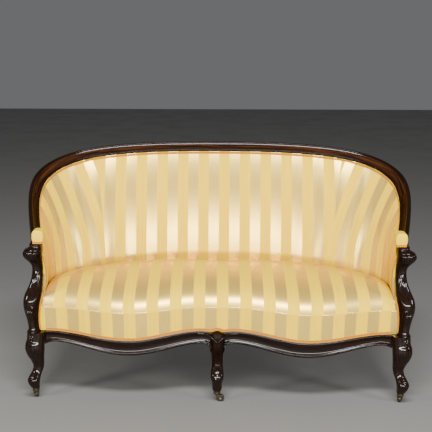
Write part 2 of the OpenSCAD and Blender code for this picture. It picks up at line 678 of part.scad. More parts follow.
module arm_pad(side) {
  end_way = arm_share * pad_len / (crest_side_y - start_y);
  function pad_ring(row) =
    let (way = row[0] * end_way, k = row[1])
    [for (j = [0 : ring_points - 1])
      let (p = squared_oval(pad_w / 2 * k, pad_h / 2 * k, pad_power, 360 * j / ring_points))
        over_rail(way, p.x, rail_h / 2 + seat_gap + pad_h / 2 * k + p.y)];
  color(gold_satin) placed() sided(-side) loft([for (row = pad_end_shares) pad_ring(row)]);
}

// Gimp
module crest_gimp() {
  skin = 2 * seat_gap + cloth_t;
  function gimp_point(way, row, depth) =
    wall_at(way, pad_share(way, row), stuffing_out - pad_depth(way, row) - skin - depth);
  function gimp_ring(way) = [gimp_point(way, gimp_row, 0), gimp_point(way, 1, 0), gimp_point(way, 1, gimp_t),
    gimp_point(way, gimp_row, gimp_t)];
  color(gimp_gold) placed() loft([for (way = ways(0, 2)) gimp_ring(way)]);
}
module front_rail_gimp() {
  lean_share = seat_wall_rows[1][1] / seat_wall_rows[1][0] * border_swell / (seat_front_h - leg_top);
  function gimp_point(x, lift, depth) = let (rise = keystone_rise(x) + lift)
    [x, front_place(x, 0, 0).y - seat_gap - depth - lean_share * rise, face_top(x) + seat_gap + rise];
  function gimp_ring(x) = [gimp_point(x, 0, gimp_t), gimp_point(x, 0, 0), gimp_point(x, gimp_w, 0),
    gimp_point(x, gimp_w, gimp_t)];
  stations = front_stations(front_end_x + corner_spread);
  half = len(stations) / 2;
  color(gimp_gold) placed() loft([for (x = concat([for (i = [0 : half - 2]) stations[i]], keystone_stations(),
    [for (i = [half + 1 : len(stations) - 1]) stations[i]])) gimp_ring(x)]);
}
module arm_gimp(side) {
  skin = 2 * seat_gap + cloth_t;
  width_share = gimp_w / norm(base_at(0) - base_at(way_step));
  function edge(row, depth) = wall_at(0, pad_share(0, row), stuffing_out - pad_depth(0, row) - skin - depth);
  function next(row, depth) =
    wall_at(way_step, pad_share(way_step, row), stuffing_out - pad_depth(way_step, row) - skin - depth);
  function across(row, depth) = edge(row, depth) + width_share * (next(row, depth) - edge(row, depth));
  low = row_of(0, seat_front_h - end_fold);
  rows = [for (row = pad_rows) if (row > low && row < gimp_row) row];
  color(gimp_gold) placed() sided(side) mirror([1, 0, 0]) loft([for (row = reversed(rows))
    [edge(row, 0), across(row, 0), across(row, gimp_t), edge(row, gimp_t)]]);
}

// Casters
module at_foot(i) {
  placed() translate([feet[i].x, feet[i].y, 0]) rotate(caster_turns[i]) children();
}
module screw_at(i) {
  translate([feet[i].x, feet[i].y, leg_low + cup_h * screw_share]) rotate(leg_turns[i] + 180)
    translate([cup_r - screw_len, 0, 0]) rotate([0, 90, 0]) children();
}
module caster_socket(i) {
  bore = stem_r + run_gap;
  color(brass) placed() difference() {
    translate([feet[i].x, feet[i].y, 0]) rotate_extrude($fn = 48)
      polygon([[bore, cup_low], [cup_r - cup_base / 2, cup_low], [cup_r, leg_low], [cup_r, cup_top],
        [spigot_r, cup_top], [spigot_r, leg_low], [bore, leg_low]]);
    screw_at(i) cylinder(r = screw_r, h = screw_len + overrun, $fn = 24);
  }
}
module caster_fork(i) {
  inner = wheel_t / 2 + cheek_gap;
  cheek = [[-plate_back, fork_top - fork_t], [-plate_back, fork_top], [plate_front, fork_top],
    [trail + boss_r, wheel_r + boss_r / 2], [trail + boss_r, wheel_r - boss_r / 2], [trail, wheel_r - boss_r],
    [trail - boss_r, wheel_r - boss_r / 2]];
  color(brass) at_foot(i) {
    translate([-plate_back, -inner - cheek_t, fork_top - fork_t])
      cube([plate_back + plate_front, 2 * (inner + cheek_t), fork_t]);
    translate([0, 0, fork_top - fork_t])
      cylinder(r = stem_r, h = leg_low + stem_head_t - fork_top + fork_t, $fn = 32);
    translate([0, 0, leg_low + seat_gap]) cylinder(r = stem_head_r, h = stem_head_t, $fn = 32);
    difference() {
      for (side = [-1, 1]) translate([0, side * (inner + cheek_t / 2) + cheek_t / 2, 0]) rotate([90, 0, 0])
        linear_extrude(cheek_t) polygon(cheek);
      translate([trail, inner + cheek_t + overrun, wheel_r]) rotate([90, 0, 0])
        cylinder(r = axle_r, h = 2 * (inner + cheek_t + overrun), $fn = 32);
    }
  }
}
module caster_axle(i) {
  half = wheel_t / 2 + cheek_gap + cheek_t;
  color(steel) at_foot(i) translate([trail, 0, wheel_r]) rotate([90, 0, 0]) {
    translate([0, 0, -half]) cylinder(r = axle_r, h = 2 * half, $fn = 32);
    for (low = [-half - axle_head_t, half]) translate([0, 0, low])
      cylinder(r = axle_head_r, h = axle_head_t, $fn = 32);
  }
}
module caster_wheel(i) {
  half = wheel_t / 2;
  edge = wheel_t * wheel_edge_share;
  ease_in = edge / 3;
  hub = axle_r + run_gap;
  color(brass) at_foot(i) translate([trail, 0, wheel_r]) rotate([90, 0, 0]) rotate_extrude($fn = 64)
    polygon([[hub, -half], [wheel_r - edge, -half], [wheel_r - ease_in, -half + ease_in],
      [wheel_r, -half + edge], [wheel_r, half - edge], [wheel_r - ease_in, half - ease_in],
      [wheel_r - edge, half], [hub, half]]);
}
module caster_screws() {
  color(brass) placed() for (i = [0 : 2]) screw_at(i) {
    cylinder(r = screw_r, h = screw_len, $fn = 24);
    translate([0, 0, screw_len]) cylinder(r = screw_head_r, h = screw_head_t, $fn = 24);
  }
}

crest_rail_centre();
crest_shoulder(-1);  // crest_shoulder_left
crest_shoulder(1);  // crest_shoulder_right
arm_rail(-1);  // arm_rail_left
arm_rail(1);  // arm_rail_right
arm_support(-1);  // arm_support_left
arm_support(1);  // arm_support_right
corner_leg(0, -1);  // front_leg_left
corner_leg(1, 1);  // front_leg_right
front_leg_centre();
front_rail(-1);  // front_rail_left
front_rail(1);  // front_rail_right
rear_leg(-1);  // rear_leg_left
rear_leg(1);  // rear_leg_right
side_rail(-1);  // side_rail_left
side_rail(1);  // side_rail_right
back_rail();
back_tack_rail();
side_tack_rail(-1);  // side_tack_rail_left
side_tack_rail(1);  // side_tack_rail_right
back_uprights();
seat_stretcher();
corner_blocks();
seat_webbing();
seat_springs();
spring_canvas();
seat_stuffing();
seat_cover();
dust_cover();
back_canvas();
back_stuffing(seam_share, 2 - seam_share);  // back_stuffing_centre
back_stuffing(0, seam_share);  // back_stuffing_left
back_stuffing(2 - seam_share, 2);  // back_stuffing_right
back_cover(seam_share, 2 - seam_share);  // back_cover_centre
back_cover(0, seam_share);  // back_cover_left
back_cover(2 - seam_share, 2);  // back_cover_right
outer_back(seam_share, 2 - seam_share);  // outer_back_centre
outer_back(0, seam_share);  // outer_back_left
outer_back(2 - seam_share, 2);  // outer_back_right
arm_pad(-1);  // arm_pad_left
arm_pad(1);  // arm_pad_right
crest_gimp();
front_rail_gimp();
arm_gimp(-1);  // arm_gimp_left
arm_gimp(1);  // arm_gimp_right
caster_socket(0);  // caster_socket_left
caster_fork(0);  // caster_fork_left
caster_axle(0);  // caster_axle_left
caster_wheel(0);  // caster_wheel_left
caster_socket(1);  // caster_socket_right
caster_fork(1);  // caster_fork_right
caster_axle(1);  // caster_axle_right
caster_wheel(1);  // caster_wheel_right
caster_socket(2);  // caster_socket_centre
caster_fork(2);  // caster_fork_centre
caster_axle(2);  // caster_axle_centre
caster_wheel(2);  // caster_wheel_centre
caster_screws();
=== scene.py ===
# Looks of the basket-backed sofa: polished show wood, striped satin, braid and brass casters.
import functools
import math

import bmesh
import bpy
import numpy as np
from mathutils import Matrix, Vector


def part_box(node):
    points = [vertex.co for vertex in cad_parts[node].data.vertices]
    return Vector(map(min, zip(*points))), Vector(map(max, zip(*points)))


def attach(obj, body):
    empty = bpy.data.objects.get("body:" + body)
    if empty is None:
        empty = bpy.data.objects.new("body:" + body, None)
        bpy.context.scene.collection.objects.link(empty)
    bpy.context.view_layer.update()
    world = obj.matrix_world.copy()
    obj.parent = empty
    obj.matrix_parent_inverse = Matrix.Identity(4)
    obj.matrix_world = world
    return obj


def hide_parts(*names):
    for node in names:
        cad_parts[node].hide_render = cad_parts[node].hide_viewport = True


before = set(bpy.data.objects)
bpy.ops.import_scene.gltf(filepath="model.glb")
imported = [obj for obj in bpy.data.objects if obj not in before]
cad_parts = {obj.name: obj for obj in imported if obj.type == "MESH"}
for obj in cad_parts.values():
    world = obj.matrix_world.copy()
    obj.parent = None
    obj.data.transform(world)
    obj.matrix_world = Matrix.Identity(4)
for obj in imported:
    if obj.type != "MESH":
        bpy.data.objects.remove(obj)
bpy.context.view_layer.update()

# Sizes in metres, the same as in the part's source.
crest_w = 1.734
crest_depth = 0.735
crest_h = 1.034
crest_side_y = 0.360
rail_t = 0.046
rail_h = 0.044
arm_spread = 0.003
arm_h = 0.690
arm_back_y = 0.046
support_set = 0.032
support_w = 0.083
support_d = 0.080
pad_len = 0.100
pad_w = 0.055
pad_h = 0.040
frame_spread = 0.015
frame_depth = 0.580
rail_low = 0.262
seat_rail_h = 0.078
seat_rail_t = 0.032
bay_swell = 0.035
bay_dip = 0.031
bay_drop = 0.050
centre_rise = 0.009
front_face_h = 0.048
front_rail_d = 0.030
post_w = 0.044
rear_rake = 0.062
rear_foot = 0.034
leg_span = 1.564
leg_w = 0.081
centre_leg_w = 0.060
leg_reach = 0.024
seat_front_h = 0.500
seat_back_h = 0.466
seat_crown_h = 0.548
border_swell = 0.008
back_pad = 0.042
cloth_t = 0.0015
gimp_w = 0.012
gimp_t = 0.003
cup_top = 0.0503

# Gaps, shares, powers and the lengths that follow from the sizes.
seat_gap = 0.0003
arm_share = 0.25
post_share = 16 / 24
seam_share = 15.7 / 24
slope_step = 0.001
arm_angle = math.radians(18)
fan_power = 1.27
crest_power = 2.6
seat_power = 2.5
crest_half = (crest_w - rail_t) / 2
leg_x = leg_span / 2
arm_half = leg_x + arm_spread
frame_half = leg_x + frame_spread
start_y = arm_back_y + seat_gap
crest_rear = crest_depth - rail_t / 2
rail_top = rail_low + seat_rail_h
tack_top = seat_back_h - 0.035
leg_top = rail_low + front_face_h
rail_end_x = leg_x - leg_w / 2
centre_half = centre_leg_w / 2
support_x = leg_x - support_set
keystone_h = 0.009
rise_share = 0.44
rise_power = 0.6
bracket_h = 0.012
bracket_len = 0.050
post_half = seat_rail_t / 2 - 0.0036
post_drop = 0.001
toe_y = -leg_reach - centre_half * 0.92
mid_y = (toe_y + crest_depth) / 2
canvas_out = -seat_rail_t / 2 - seat_gap
stuffing_out = canvas_out - cloth_t - seat_gap
outer_cloth = seat_rail_t / 2 + seat_gap
front_fill = 0.6
fill_way = 0.16
seat_setback = 0.004
bay_fold = 0.010
end_fold = 0.008
dome_sag = 0.024
roll_len = 0.057
back_roll_len = 0.245
roll_reach = 0.9
crease_share = 0.61
seat_fall_power = 1.5
seat_margin = 0.003
front_end_x = support_x - 0.008
corner_turn = 0.010

rise_shares = [(0, 0), (0.05, 0.006), (0.2, 0.115), (0.36, 0.335), (0.5, 0.55), (0.7, 0.75), (0.88, 0.915),
    (1, 1)]
pad_shares = [(0, 0.5), (0.1, 0.78), (0.3, 0.97), (0.5, 1), (0.7, 0.86), (0.88, 0.5), (0.98, 0.14), (1, 0.06)]
corner_leg_shares = [(0, 0.62, 0.42), (0.064, 0.88, 0.55), (0.148, 1, 0.66), (0.225, 0.62, 0.6),
    (0.302, 0.1, 0.555), (0.386, -0.15, 0.565), (0.482, 0.02, 0.68), (0.597, 0.36, 0.88), (0.7, 0.5, 1),
    (0.789, 0.42, 1), (0.866, 0.15, 0.97), (1, 0, 0.97)]
centre_leg_shares = [(0, 0.62, 0.56), (0.03, 0.64, 0.68), (0.1, 0.75, 0.72), (0.17, 0.92, 0.77),
    (0.24, 1, 0.92), (0.31, 0.8, 0.94), (0.4, 0.25, 0.8), (0.5, -0.1, 0.78), (0.62, 0.05, 0.84),
    (0.74, 0.3, 0.94), (0.85, 0.2, 0.99), (1, 0, 1)]
support_shares = [(0, 0.8, 0.25, 0.95), (0.053, 0.78, 0.28, 0.88), (0.158, 0.86, 0.28, 0.88),
    (0.263, 0.98, 0.23, 0.95), (0.342, 1, 0.17, 1), (0.421, 0.94, 0.08, 0.9), (0.513, 0.75, 0.04, 0.68),
    (0.605, 0.6, 0.01, 0.53), (0.697, 0.54, 0, 0.45), (0.755, 0.56, 0, 0.48), (0.800, 0.68, 0, 0.58),
    (0.850, 0.86, 0, 0.74), (0.905, 0.93, 0, 0.82), (0.945, 0.86, 0.01, 0.76), (0.968, 0.67, 0.02, 0.63),
    (0.985, 0.58, 0.04, 0.56), (1, 0.56, 0.05, 0.55)]
rear_leg_shares = [(0, 1, 0), (0.25, 0.62, 0.1), (0.5, 0.3, 0.3), (0.75, 0.08, 0.65), (1, 0, 1)]


# Curves of the sofa, as in the part's source

def smooth(table, x, column=1):
    """A column of a table at x, by a smooth curve through its rows."""
    i = 0
    while i < len(table) - 2 and x >= table[i + 1][0]:
        i += 1
    p, q = table[i], table[i + 1]
    w = q[0] - p[0]
    t = (x - p[0]) / w

    def slope(k):
        a, b = max(k - 1, 0), min(k + 1, len(table) - 1)
        return (table[b][column] - table[a][column]) / (table[b][0] - table[a][0])

    m, n = slope(i) * w, slope(i + 1) * w
    return ((2 * t**3 - 3 * t * t + 1) * p[column] + (t**3 - 2 * t * t + t) * m
            + (3 * t * t - 2 * t**3) * q[column] + (t**3 - t * t) * n)


def ease(t):
    """A soft step from 0 to 1."""
    t = min(1, max(0, t))
    return t * t * (3 - 2 * t)


def squared_oval(a, b, power, angle):
    """Place on an oval with half widths a and b, more square with a higher power."""
    c, s = math.cos(angle), math.sin(angle)
    k = (abs(c) ** power + abs(s) ** power) ** (1 / power)
    return a * c / k, b * s / k


def placed(p):
    """A place of this script's working frame, moved to the frame that the files share."""
    return Vector((p[0], p[1] - mid_y, p[2]))


def crest_half_plan(way):
    """Plan of one half of the crest: way 0 is an arm's front end, and 1 the middle of the back."""
    if way < arm_share:
        t = 1 - way / arm_share
        return crest_half - (crest_half - arm_half) * ease(t), crest_side_y - (crest_side_y - start_y) * t
    x, y = squared_oval(crest_half, crest_rear - crest_side_y, crest_power,
                        math.pi / 2 * (way - arm_share) / (1 - arm_share))
    return x, crest_side_y + y


@functools.lru_cache(None)
def crest_at(way):
    """Middle line of the crest on the way round, from 0 at the left front to 2 at the right front."""
    x, y = crest_half_plan(way if way <= 1 else 2 - way)
    rise = smooth(rise_shares, max(0, (y - start_y) / (crest_rear - start_y)))
    return Vector(((-1 if way <= 1 else 1) * x, y, arm_h - rail_h / 2 + (crest_h - arm_h) * rise))


@functools.lru_cache(None)
def axes_at(way):
    """Heading, outward and upward directions of the crest at a place on the way round."""
    t = (crest_at(way + slope_step) - crest_at(way - slope_step)).normalized()
    n = Vector((-t.y, t.x, 0)).normalized()
    return t, n, t.cross(n)


@functools.lru_cache(None)
def base_at(way):
    """Foot of the back's wall, on the top of the seat rails."""
    half = way if way <= 1 else 2 - way
    angle = arm_angle * half / arm_share
    if half >= arm_share:
        angle = arm_angle + (math.pi / 2 - arm_angle) * ((half - arm_share) / (1 - arm_share)) ** fan_power
    x, y = squared_oval(frame_half, frame_depth - start_y, seat_power, angle)
    return Vector(((-1 if way <= 1 else 1) * x, start_y + y, rail_top))


@functools.lru_cache(None)
def under_crest(way):
    """Top of the back's wall, at the underside of the crest."""
    return crest_at(way) - (rail_h / 2 + seat_gap) * axes_at(way)[2]


def wall_at(way, share, out):
    """Place on the back's wall: share of its height, and distance outward from its middle."""
    return base_at(way) + share * (under_crest(way) - base_at(way)) + out * axes_at(way)[1]


def share_at(way, z):
    """Share of the wall's height that a height above the floor has."""
    return (z - rail_top) / (under_crest(way).z - rail_top)


def pad_share(way, row):
    """Share of the wall's height at a row of the padded panels."""
    low = share_at(way, tack_top)
    return low + (1 - low) * row


def pad_depth(way, row):
    """Depth of the padding at a row, which is less near the front ends of the arms."""
    half = way if way <= 1 else 2 - way
    fill = front_fill + (1 - front_fill) * ease(half / fill_way)
    return back_pad * smooth(pad_shares, row) * (fill if row < 0.98 else 1)


def ways(start, end, per_step=4):
    """Even steps on the way round."""
    count = round((end - start) * 24 * per_step)
    return [start + (end - start) * i / count for i in range(count + 1)]


def bay_wave(x):
    """Shape of the two bays of the front: 0 at the legs and 1 at the middle of a bay."""
    t = (abs(x) - centre_half) / (rail_end_x - centre_half)
    return 0 if t <= 0 or t >= 1 else (1 - math.cos(2 * math.pi * t)) / 2


def face_y(x):
    return -bay_swell * bay_wave(x)


def centre_wave(x):
    """Rise of the top moulding on each side of the centre leg."""
    t = (abs(x) - centre_half) / (rail_end_x - centre_half) / rise_share
    return 0 if t <= 0 or t >= 1 else math.sin(math.pi * t**rise_power)


def bracket(x):
    """How far the lower edge curves down into a leg at the ends of a bay."""
    near = min(abs(x) - centre_half, rail_end_x - abs(x))
    return max(0, 1 - near / bracket_len) ** 2


def face_top(x):
    return leg_top - bay_dip * bay_wave(x) + centre_rise * centre_wave(x)


def face_low(x):
    return rail_low - bay_drop * bay_wave(x) - bracket_h * bracket(x)


def spread(start, end, count):
    """Evenly spaced numbers from a start to an end."""
    return [start + (end - start) * i / (count - 1) for i in range(count)]


def bell(x, width):
    """A bell curve with a height of 1."""
    return math.exp(-(x / width) ** 2)


# Making meshes

def finished(mesh, sharp):
    """Turns the faces of a mesh outward and makes it smooth but for its sharp edges."""
    work = bmesh.new()
    work.from_mesh(mesh)
    bmesh.ops.recalc_face_normals(work, faces=work.faces)
    work.to_mesh(mesh)
    work.free()
    for face in mesh.polygons:
        face.use_smooth = True
    mesh.set_sharp_from_angle(angle=math.radians(sharp))


def piece_from(name, points, faces, material, body="frame", slot=None, replaces=(), sharp=35):
    """A named mesh that rides on a body and stands for the nodes that it replaces."""
    mesh = bpy.data.meshes.new(name)
    mesh.from_pydata([tuple(p) for p in points], [], faces)
    finished(mesh, sharp)
    mesh.materials.append(material)
    piece = bpy.data.objects.new(name, mesh)
    bpy.context.scene.collection.objects.link(piece)
    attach(piece, body)
    if replaces:
        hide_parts(*replaces)
    return piece


def note(piece, name, values):
    """Stores one number or one vector for each point of a piece, for its material to read."""
    values = np.array(values, np.float32)
    kind = "FLOAT_VECTOR" if values.ndim == 2 else "FLOAT"
    stored = piece.data.attributes.new(name, kind, "POINT")
    stored.data.foreach_set("vector" if values.ndim == 2 else "value", values.ravel())


def noted(mesh, name):
    """The numbers or vectors that a mesh holds under a name."""
    stored = mesh.attributes[name]
    if stored.data_type == "FLOAT":
        values = np.zeros(len(mesh.vertices), np.float32)
        stored.data.foreach_get("value", values)
        return values
    values = np.zeros((len(mesh.vertices), 3), np.float32)
    stored.data.foreach_get("vector", values.ravel())
    return values


def skin_faces(rings, columns, closed=True, first=0):
    """Four-sided faces between rows of points that follow each other."""
    wrap = columns if closed else columns - 1
    return [(first + i * columns + j, first + i * columns + (j + 1) % columns,
             first + (i + 1) * columns + (j + 1) % columns, first + (i + 1) * columns + j)
            for i in range(rings - 1) for j in range(wrap)]


def capped(rings, columns):
    """Faces of a tube of rings with both of its ends closed."""
    last = (rings - 1) * columns
    return skin_faces(rings, columns) + [tuple(range(columns)), tuple(range(last, last + columns))]


def two_layers(count, columns):
    """Faces of a sheet that has two layers of points, closed round its edges."""
    half = columns * count
    faces = skin_faces(count, columns, False) + skin_faces(count, columns, False, half)
    last = half - columns
    for k in range(columns - 1):
        faces.append((k, k + 1, half + k + 1, half + k))
        faces.append((last + k, last + k + 1, half + last + k + 1, half + last + k))
    for i in range(count - 1):
        for k in (0, columns - 1):
            a = i * columns + k
            b = a + columns
            faces.append((a, b, half + b, half + a))
    return faces


def to_side(rings, side):
    """Rings of the right side as they are, or mirrored for the left side."""
    return [[Vector((side * p.x, p.y, p.z)) for p in ring] for ring in rings]


def ring_notes(rings):
    """Grain coordinates of a loft: how far along it and how far round it each point is."""
    found, along = [], 0
    for i, ring in enumerate(rings):
        if i:
            along += (sum(ring, Vector()) / len(ring) - sum(rings[i - 1], Vector()) / len(ring)).length
        around = 0
        for j, p in enumerate(ring):
            if j:
                around += (p - ring[j - 1]).length
            found.append((along, around, 0.01 * j))
    return found


def loft_piece(name, rings, material, shade=None, dull=None, **said):
    """A piece of show wood from rings, with notes for its grain, its shaded places and its dull places."""
    points = [placed(p) for ring in rings for p in ring]
    piece = piece_from(name, points, capped(len(rings), len(rings[0])), material, **said)
    note(piece, "grain", ring_notes(rings))
    note(piece, "shade", shade if shade is not None else [0.0] * len(points))
    note(piece, "dull", dull if dull is not None else [0.0] * len(points))
    return piece


# Shader node helpers

def add(tree, kind, **values):
    node = tree.nodes.new(kind)
    for name, value in values.items():
        setattr(node, name, value)
    return node


def wire(tree, value, socket):
    """Links an output to a socket, or gives the socket a plain value."""
    if isinstance(value, bpy.types.NodeSocket):
        tree.links.new(value, socket)
    else:
        socket.default_value = value


def fed(tree, kind, inputs, **values):
    """Outputs of a new node whose inputs are plain values or outputs of other nodes."""
    node = add(tree, kind, **values)
    for name, value in inputs.items():
        wire(tree, value, node.inputs[name])
    return node.outputs


def maths(tree, operation, a, b=0.0, c=0.0):
    return fed(tree, "ShaderNodeMath", {0: a, 1: b, 2: c}, operation=operation)[0]


def blended(tree, factor, a, b, mode="MIX"):
    mixed = fed(tree, "ShaderNodeMix", {"Factor": factor, "A": a, "B": b}, data_type="RGBA", blend_type=mode)
    return mixed["Result"]


def ranged(tree, value, low, high):
    """A soft step from 0 at a low value to 1 at a high one."""
    return fed(tree, "ShaderNodeMapRange", {0: value, 1: low, 2: high, 3: 0.0, 4: 1.0},
        interpolation_type="SMOOTHSTEP")[0]


def stretched(tree, vector, scale):
    return fed(tree, "ShaderNodeMapping", {"Vector": vector, "Scale": scale})[0]


def noise_of(tree, vector, scale=1.0, detail=3.0, rough=0.5):
    return fed(tree, "ShaderNodeTexNoise", {"Vector": vector, "Scale": scale, "Detail": detail,
        "Roughness": rough})["Fac"]


def shader_group(name, inputs, outputs):
    """A new node group with named inputs and outputs."""
    tree = bpy.data.node_groups.new(name, "ShaderNodeTree")
    kinds = {"colour": "NodeSocketColor", "number": "NodeSocketFloat", "vector": "NodeSocketVector"}
    for label, kind, value in inputs:
        socket = tree.interface.new_socket(label, in_out="INPUT", socket_type=kinds[kind])
        if value is not None:
            socket.default_value = value
    for label, kind in outputs:
        tree.interface.new_socket(label, in_out="OUTPUT", socket_type=kinds[kind])
    return tree, add(tree, "NodeGroupInput").outputs, add(tree, "NodeGroupOutput").inputs


def grain_group():
    """Figure of polished rosewood: long streaks, open pores, a finish that is not quite even, and painted
    shade that hides the streaks.
    """
    tree, given, out = shader_group("rosewood_figure", [("Grain", "vector", None),
        ("Dark", "colour", (0.02, 0.008, 0.006, 1)), ("Red", "colour", (0.12, 0.03, 0.015, 1)),
        ("Streaks", "number", 0.5), ("Shade", "number", 0.0), ("Dull", "number", 0.0)],
        [("Colour", "colour"), ("Roughness", "number"), ("Height", "number"), ("Coat", "number")])
    bend = noise_of(tree, stretched(tree, given["Grain"], (5, 9, 9)), 1.0, 2.0)
    aside = fed(tree, "ShaderNodeCombineXYZ", {"Y": maths(tree, "MULTIPLY", bend, 0.02)})[0]
    wavy = fed(tree, "ShaderNodeVectorMath", {0: given["Grain"], 1: (1, 1, 1), 2: aside},
        operation="MULTIPLY_ADD")[0]
    broad = noise_of(tree, stretched(tree, wavy, (3.5, 70, 70)), 1.0, 4.0, 0.6)
    fine = noise_of(tree, stretched(tree, wavy, (18, 480, 480)), 1.0, 3.0, 0.6)
    pores = ranged(tree, fine, 0.52, 0.7)
    streak = maths(tree, "MULTIPLY", ranged(tree, broad, 0.42, 0.62), given["Streaks"])
    # Painted shade: the streaks are hidden where the shade attribute marks the wood as lying in shade.
    lit = maths(tree, "MULTIPLY", streak, maths(tree, "SUBTRACT", 1.0, given["Shade"]))
    coloured = blended(tree, lit, given["Dark"], given["Red"])
    darker = blended(tree, maths(tree, "MULTIPLY", pores, 0.5), coloured, (0.008, 0.004, 0.003, 1))
    wire(tree, darker, out["Colour"])
    patch = noise_of(tree, stretched(tree, given["Grain"], (9, 22, 22)), 1.0, 3.0)
    wire(tree, maths(tree, "MULTIPLY_ADD", patch, 0.22, 0.20), out["Roughness"])
    wire(tree, maths(tree, "SUBTRACT", maths(tree, "MULTIPLY", broad, 0.4), pores), out["Height"])
    wire(tree, maths(tree, "MULTIPLY_ADD", given["Dull"], -0.42, 0.42), out["Coat"])
    return tree


def satin_group():
    """Striped satin: a yellow stripe of plain weave and a champagne stripe of satin, with their threads."""
    tree, given, out = shader_group("striped_satin", [("Weave", "vector", None), ("Pitch", "number", 0.1),
        ("Phase", "number", 0.0), ("Yellow", "colour", (0.8, 0.6, 0.2, 1)),
        ("Champagne", "colour", (0.7, 0.5, 0.3, 1)), ("Plain", "number", 0.0)],
        [("Colour", "colour"), ("Roughness", "number"), ("Height", "number"), ("Metallic", "number")])
    across = fed(tree, "ShaderNodeSeparateXYZ", {0: given["Weave"]})["X"]
    turns = maths(tree, "ADD", maths(tree, "DIVIDE", across, given["Pitch"]), given["Phase"])
    saw = maths(tree, "ABSOLUTE", maths(tree, "SUBTRACT", maths(tree, "FRACT", turns), 0.5))
    stripe = ranged(tree, saw, 0.243, 0.257)
    stripe = maths(tree, "MULTIPLY", stripe, maths(tree, "SUBTRACT", 1.0, given["Plain"]))
    threads = noise_of(tree, stretched(tree, given["Weave"], (900, 3, 3)), 1.0, 2.0)
    picks = noise_of(tree, stretched(tree, given["Weave"], (6, 700, 6)), 1.0, 2.0)
    slubs = noise_of(tree, stretched(tree, given["Weave"], (160, 1.5, 1.5)), 1.0, 3.0)
    cloud = noise_of(tree, stretched(tree, given["Weave"], (7, 5, 5)), 1.0, 2.0)
    colour = blended(tree, stripe, given["Yellow"], given["Champagne"])
    lined = maths(tree, "MULTIPLY", maths(tree, "SUBTRACT", 1.0, stripe), maths(tree, "SUBTRACT", slubs, 0.5))
    tone = maths(tree, "ADD", maths(tree, "MULTIPLY", lined, 0.35),
        maths(tree, "MULTIPLY_ADD", cloud, 0.12, 0.94))
    tone = maths(tree, "ADD", tone, maths(tree, "MULTIPLY", maths(tree, "SUBTRACT", threads, 0.5), 0.1))
    grey = fed(tree, "ShaderNodeCombineColor", {"Red": tone, "Green": tone, "Blue": tone})[0]
    wire(tree, blended(tree, 1.0, colour, grey, "MULTIPLY"), out["Colour"])
    wire(tree, maths(tree, "MULTIPLY_ADD", stripe, -0.27, 0.58), out["Roughness"])
    wire(tree, maths(tree, "MULTIPLY_ADD", stripe, 0.58, 0.05), out["Metallic"])
    rib = maths(tree, "ADD", threads, maths(tree, "MULTIPLY", picks, maths(tree, "SUBTRACT", 1.0, stripe)))
    wire(tree, rib, out["Height"])
    return tree


def speckle_group():
    """Uneven colour and finish of metal, cloth or raw wood."""
    tree, given, out = shader_group("uneven_surface", [("Place", "vector", None),
        ("Colour", "colour", (0.5, 0.5, 0.5, 1)), ("Dirt", "colour", (0.1, 0.1, 0.1, 1)),
        ("Scale", "number", 40.0), ("Amount", "number", 0.5), ("Gloss", "number", 0.4)],
        [("Colour", "colour"), ("Roughness", "number"), ("Height", "number")])
    scaled = fed(tree, "ShaderNodeVectorMath", {0: given["Place"], "Scale": given["Scale"]},
        operation="SCALE")[0]
    coarse = noise_of(tree, scaled, 1.0, 5.0, 0.6)
    fine = noise_of(tree, scaled, 9.0, 2.0)
    mask = maths(tree, "MULTIPLY", ranged(tree, coarse, 0.4, 0.7), given["Amount"])
    wire(tree, blended(tree, mask, given["Colour"], given["Dirt"]), out["Colour"])
    wire(tree, maths(tree, "MULTIPLY_ADD", mask, 0.35, given["Gloss"]), out["Roughness"])
    wire(tree, maths(tree, "ADD", coarse, maths(tree, "MULTIPLY", fine, 0.5)), out["Height"])
    return tree


wood_figure = grain_group()
satin_weave = satin_group()
uneven = speckle_group()


def new_material(name, look, values, source, relief, uniform):
    """A material whose colour, roughness and relief come from one group, with plain values for the rest."""
    made = bpy.data.materials.new(name)
    made.use_nodes = True
    tree = made.node_tree
    shader = tree.nodes["Principled BSDF"]
    for label, value in uniform.items():
        shader.inputs[label].default_value = value
    node = add(tree, "ShaderNodeGroup", node_tree=look)
    if source == "object":
        place = add(tree, "ShaderNodeTexCoord").outputs["Object"]
    else:
        place = add(tree, "ShaderNodeAttribute", attribute_name=source).outputs["Vector"]
    wire(tree, place, node.inputs[0])
    for label, value in values.items():
        if isinstance(value, str):
            value = add(tree, "ShaderNodeAttribute", attribute_name=value).outputs["Fac"]
        wire(tree, value, node.inputs[label])
    for label, socket in (("Colour", "Base Color"), ("Roughness", "Roughness"), ("Metallic", "Metallic"),
            ("Coat", "Coat Weight")):
        if label in node.outputs:
            wire(tree, node.outputs[label], shader.inputs[socket])
    bump = fed(tree, "ShaderNodeBump", {"Strength": relief[0], "Distance": relief[1],
        "Height": node.outputs["Height"]})
    wire(tree, bump["Normal"], shader.inputs["Normal"])
    return made


def wood_material(name, dark, red, streaks):
    return new_material(name, wood_figure, {"Dark": dark, "Red": red, "Streaks": streaks, "Shade": "shade",
        "Dull": "dull"}, "grain", (0.12, 0.0006), {"Coat Roughness": 0.07, "Coat IOR": 1.45,
        "Specular IOR Level": 0.03})


yellow = (0.70, 0.455, 0.013, 1)
champagne = (0.70, 0.475, 0.105, 1)
# A shaded copy of the satin's colours for the outer back and sides: less saturated, so that the same cloth
# reads gold, not olive, in the shade behind the sofa.
outer_yellow_for_shade = (0.66, 0.45, 0.12, 1)
outer_champagne_for_shade = (0.68, 0.50, 0.22, 1)


def satin_material(name, pitch, phase, plain=0.0, first=yellow, second=champagne):
    return new_material(name, satin_weave, {"Pitch": pitch, "Phase": phase, "Plain": plain, "Yellow": first,
        "Champagne": second}, "weave", (0.10, 0.0003), {"Specular IOR Level": 0.12,
        "Specular Tint": (1, 0.72, 0.2, 1)})


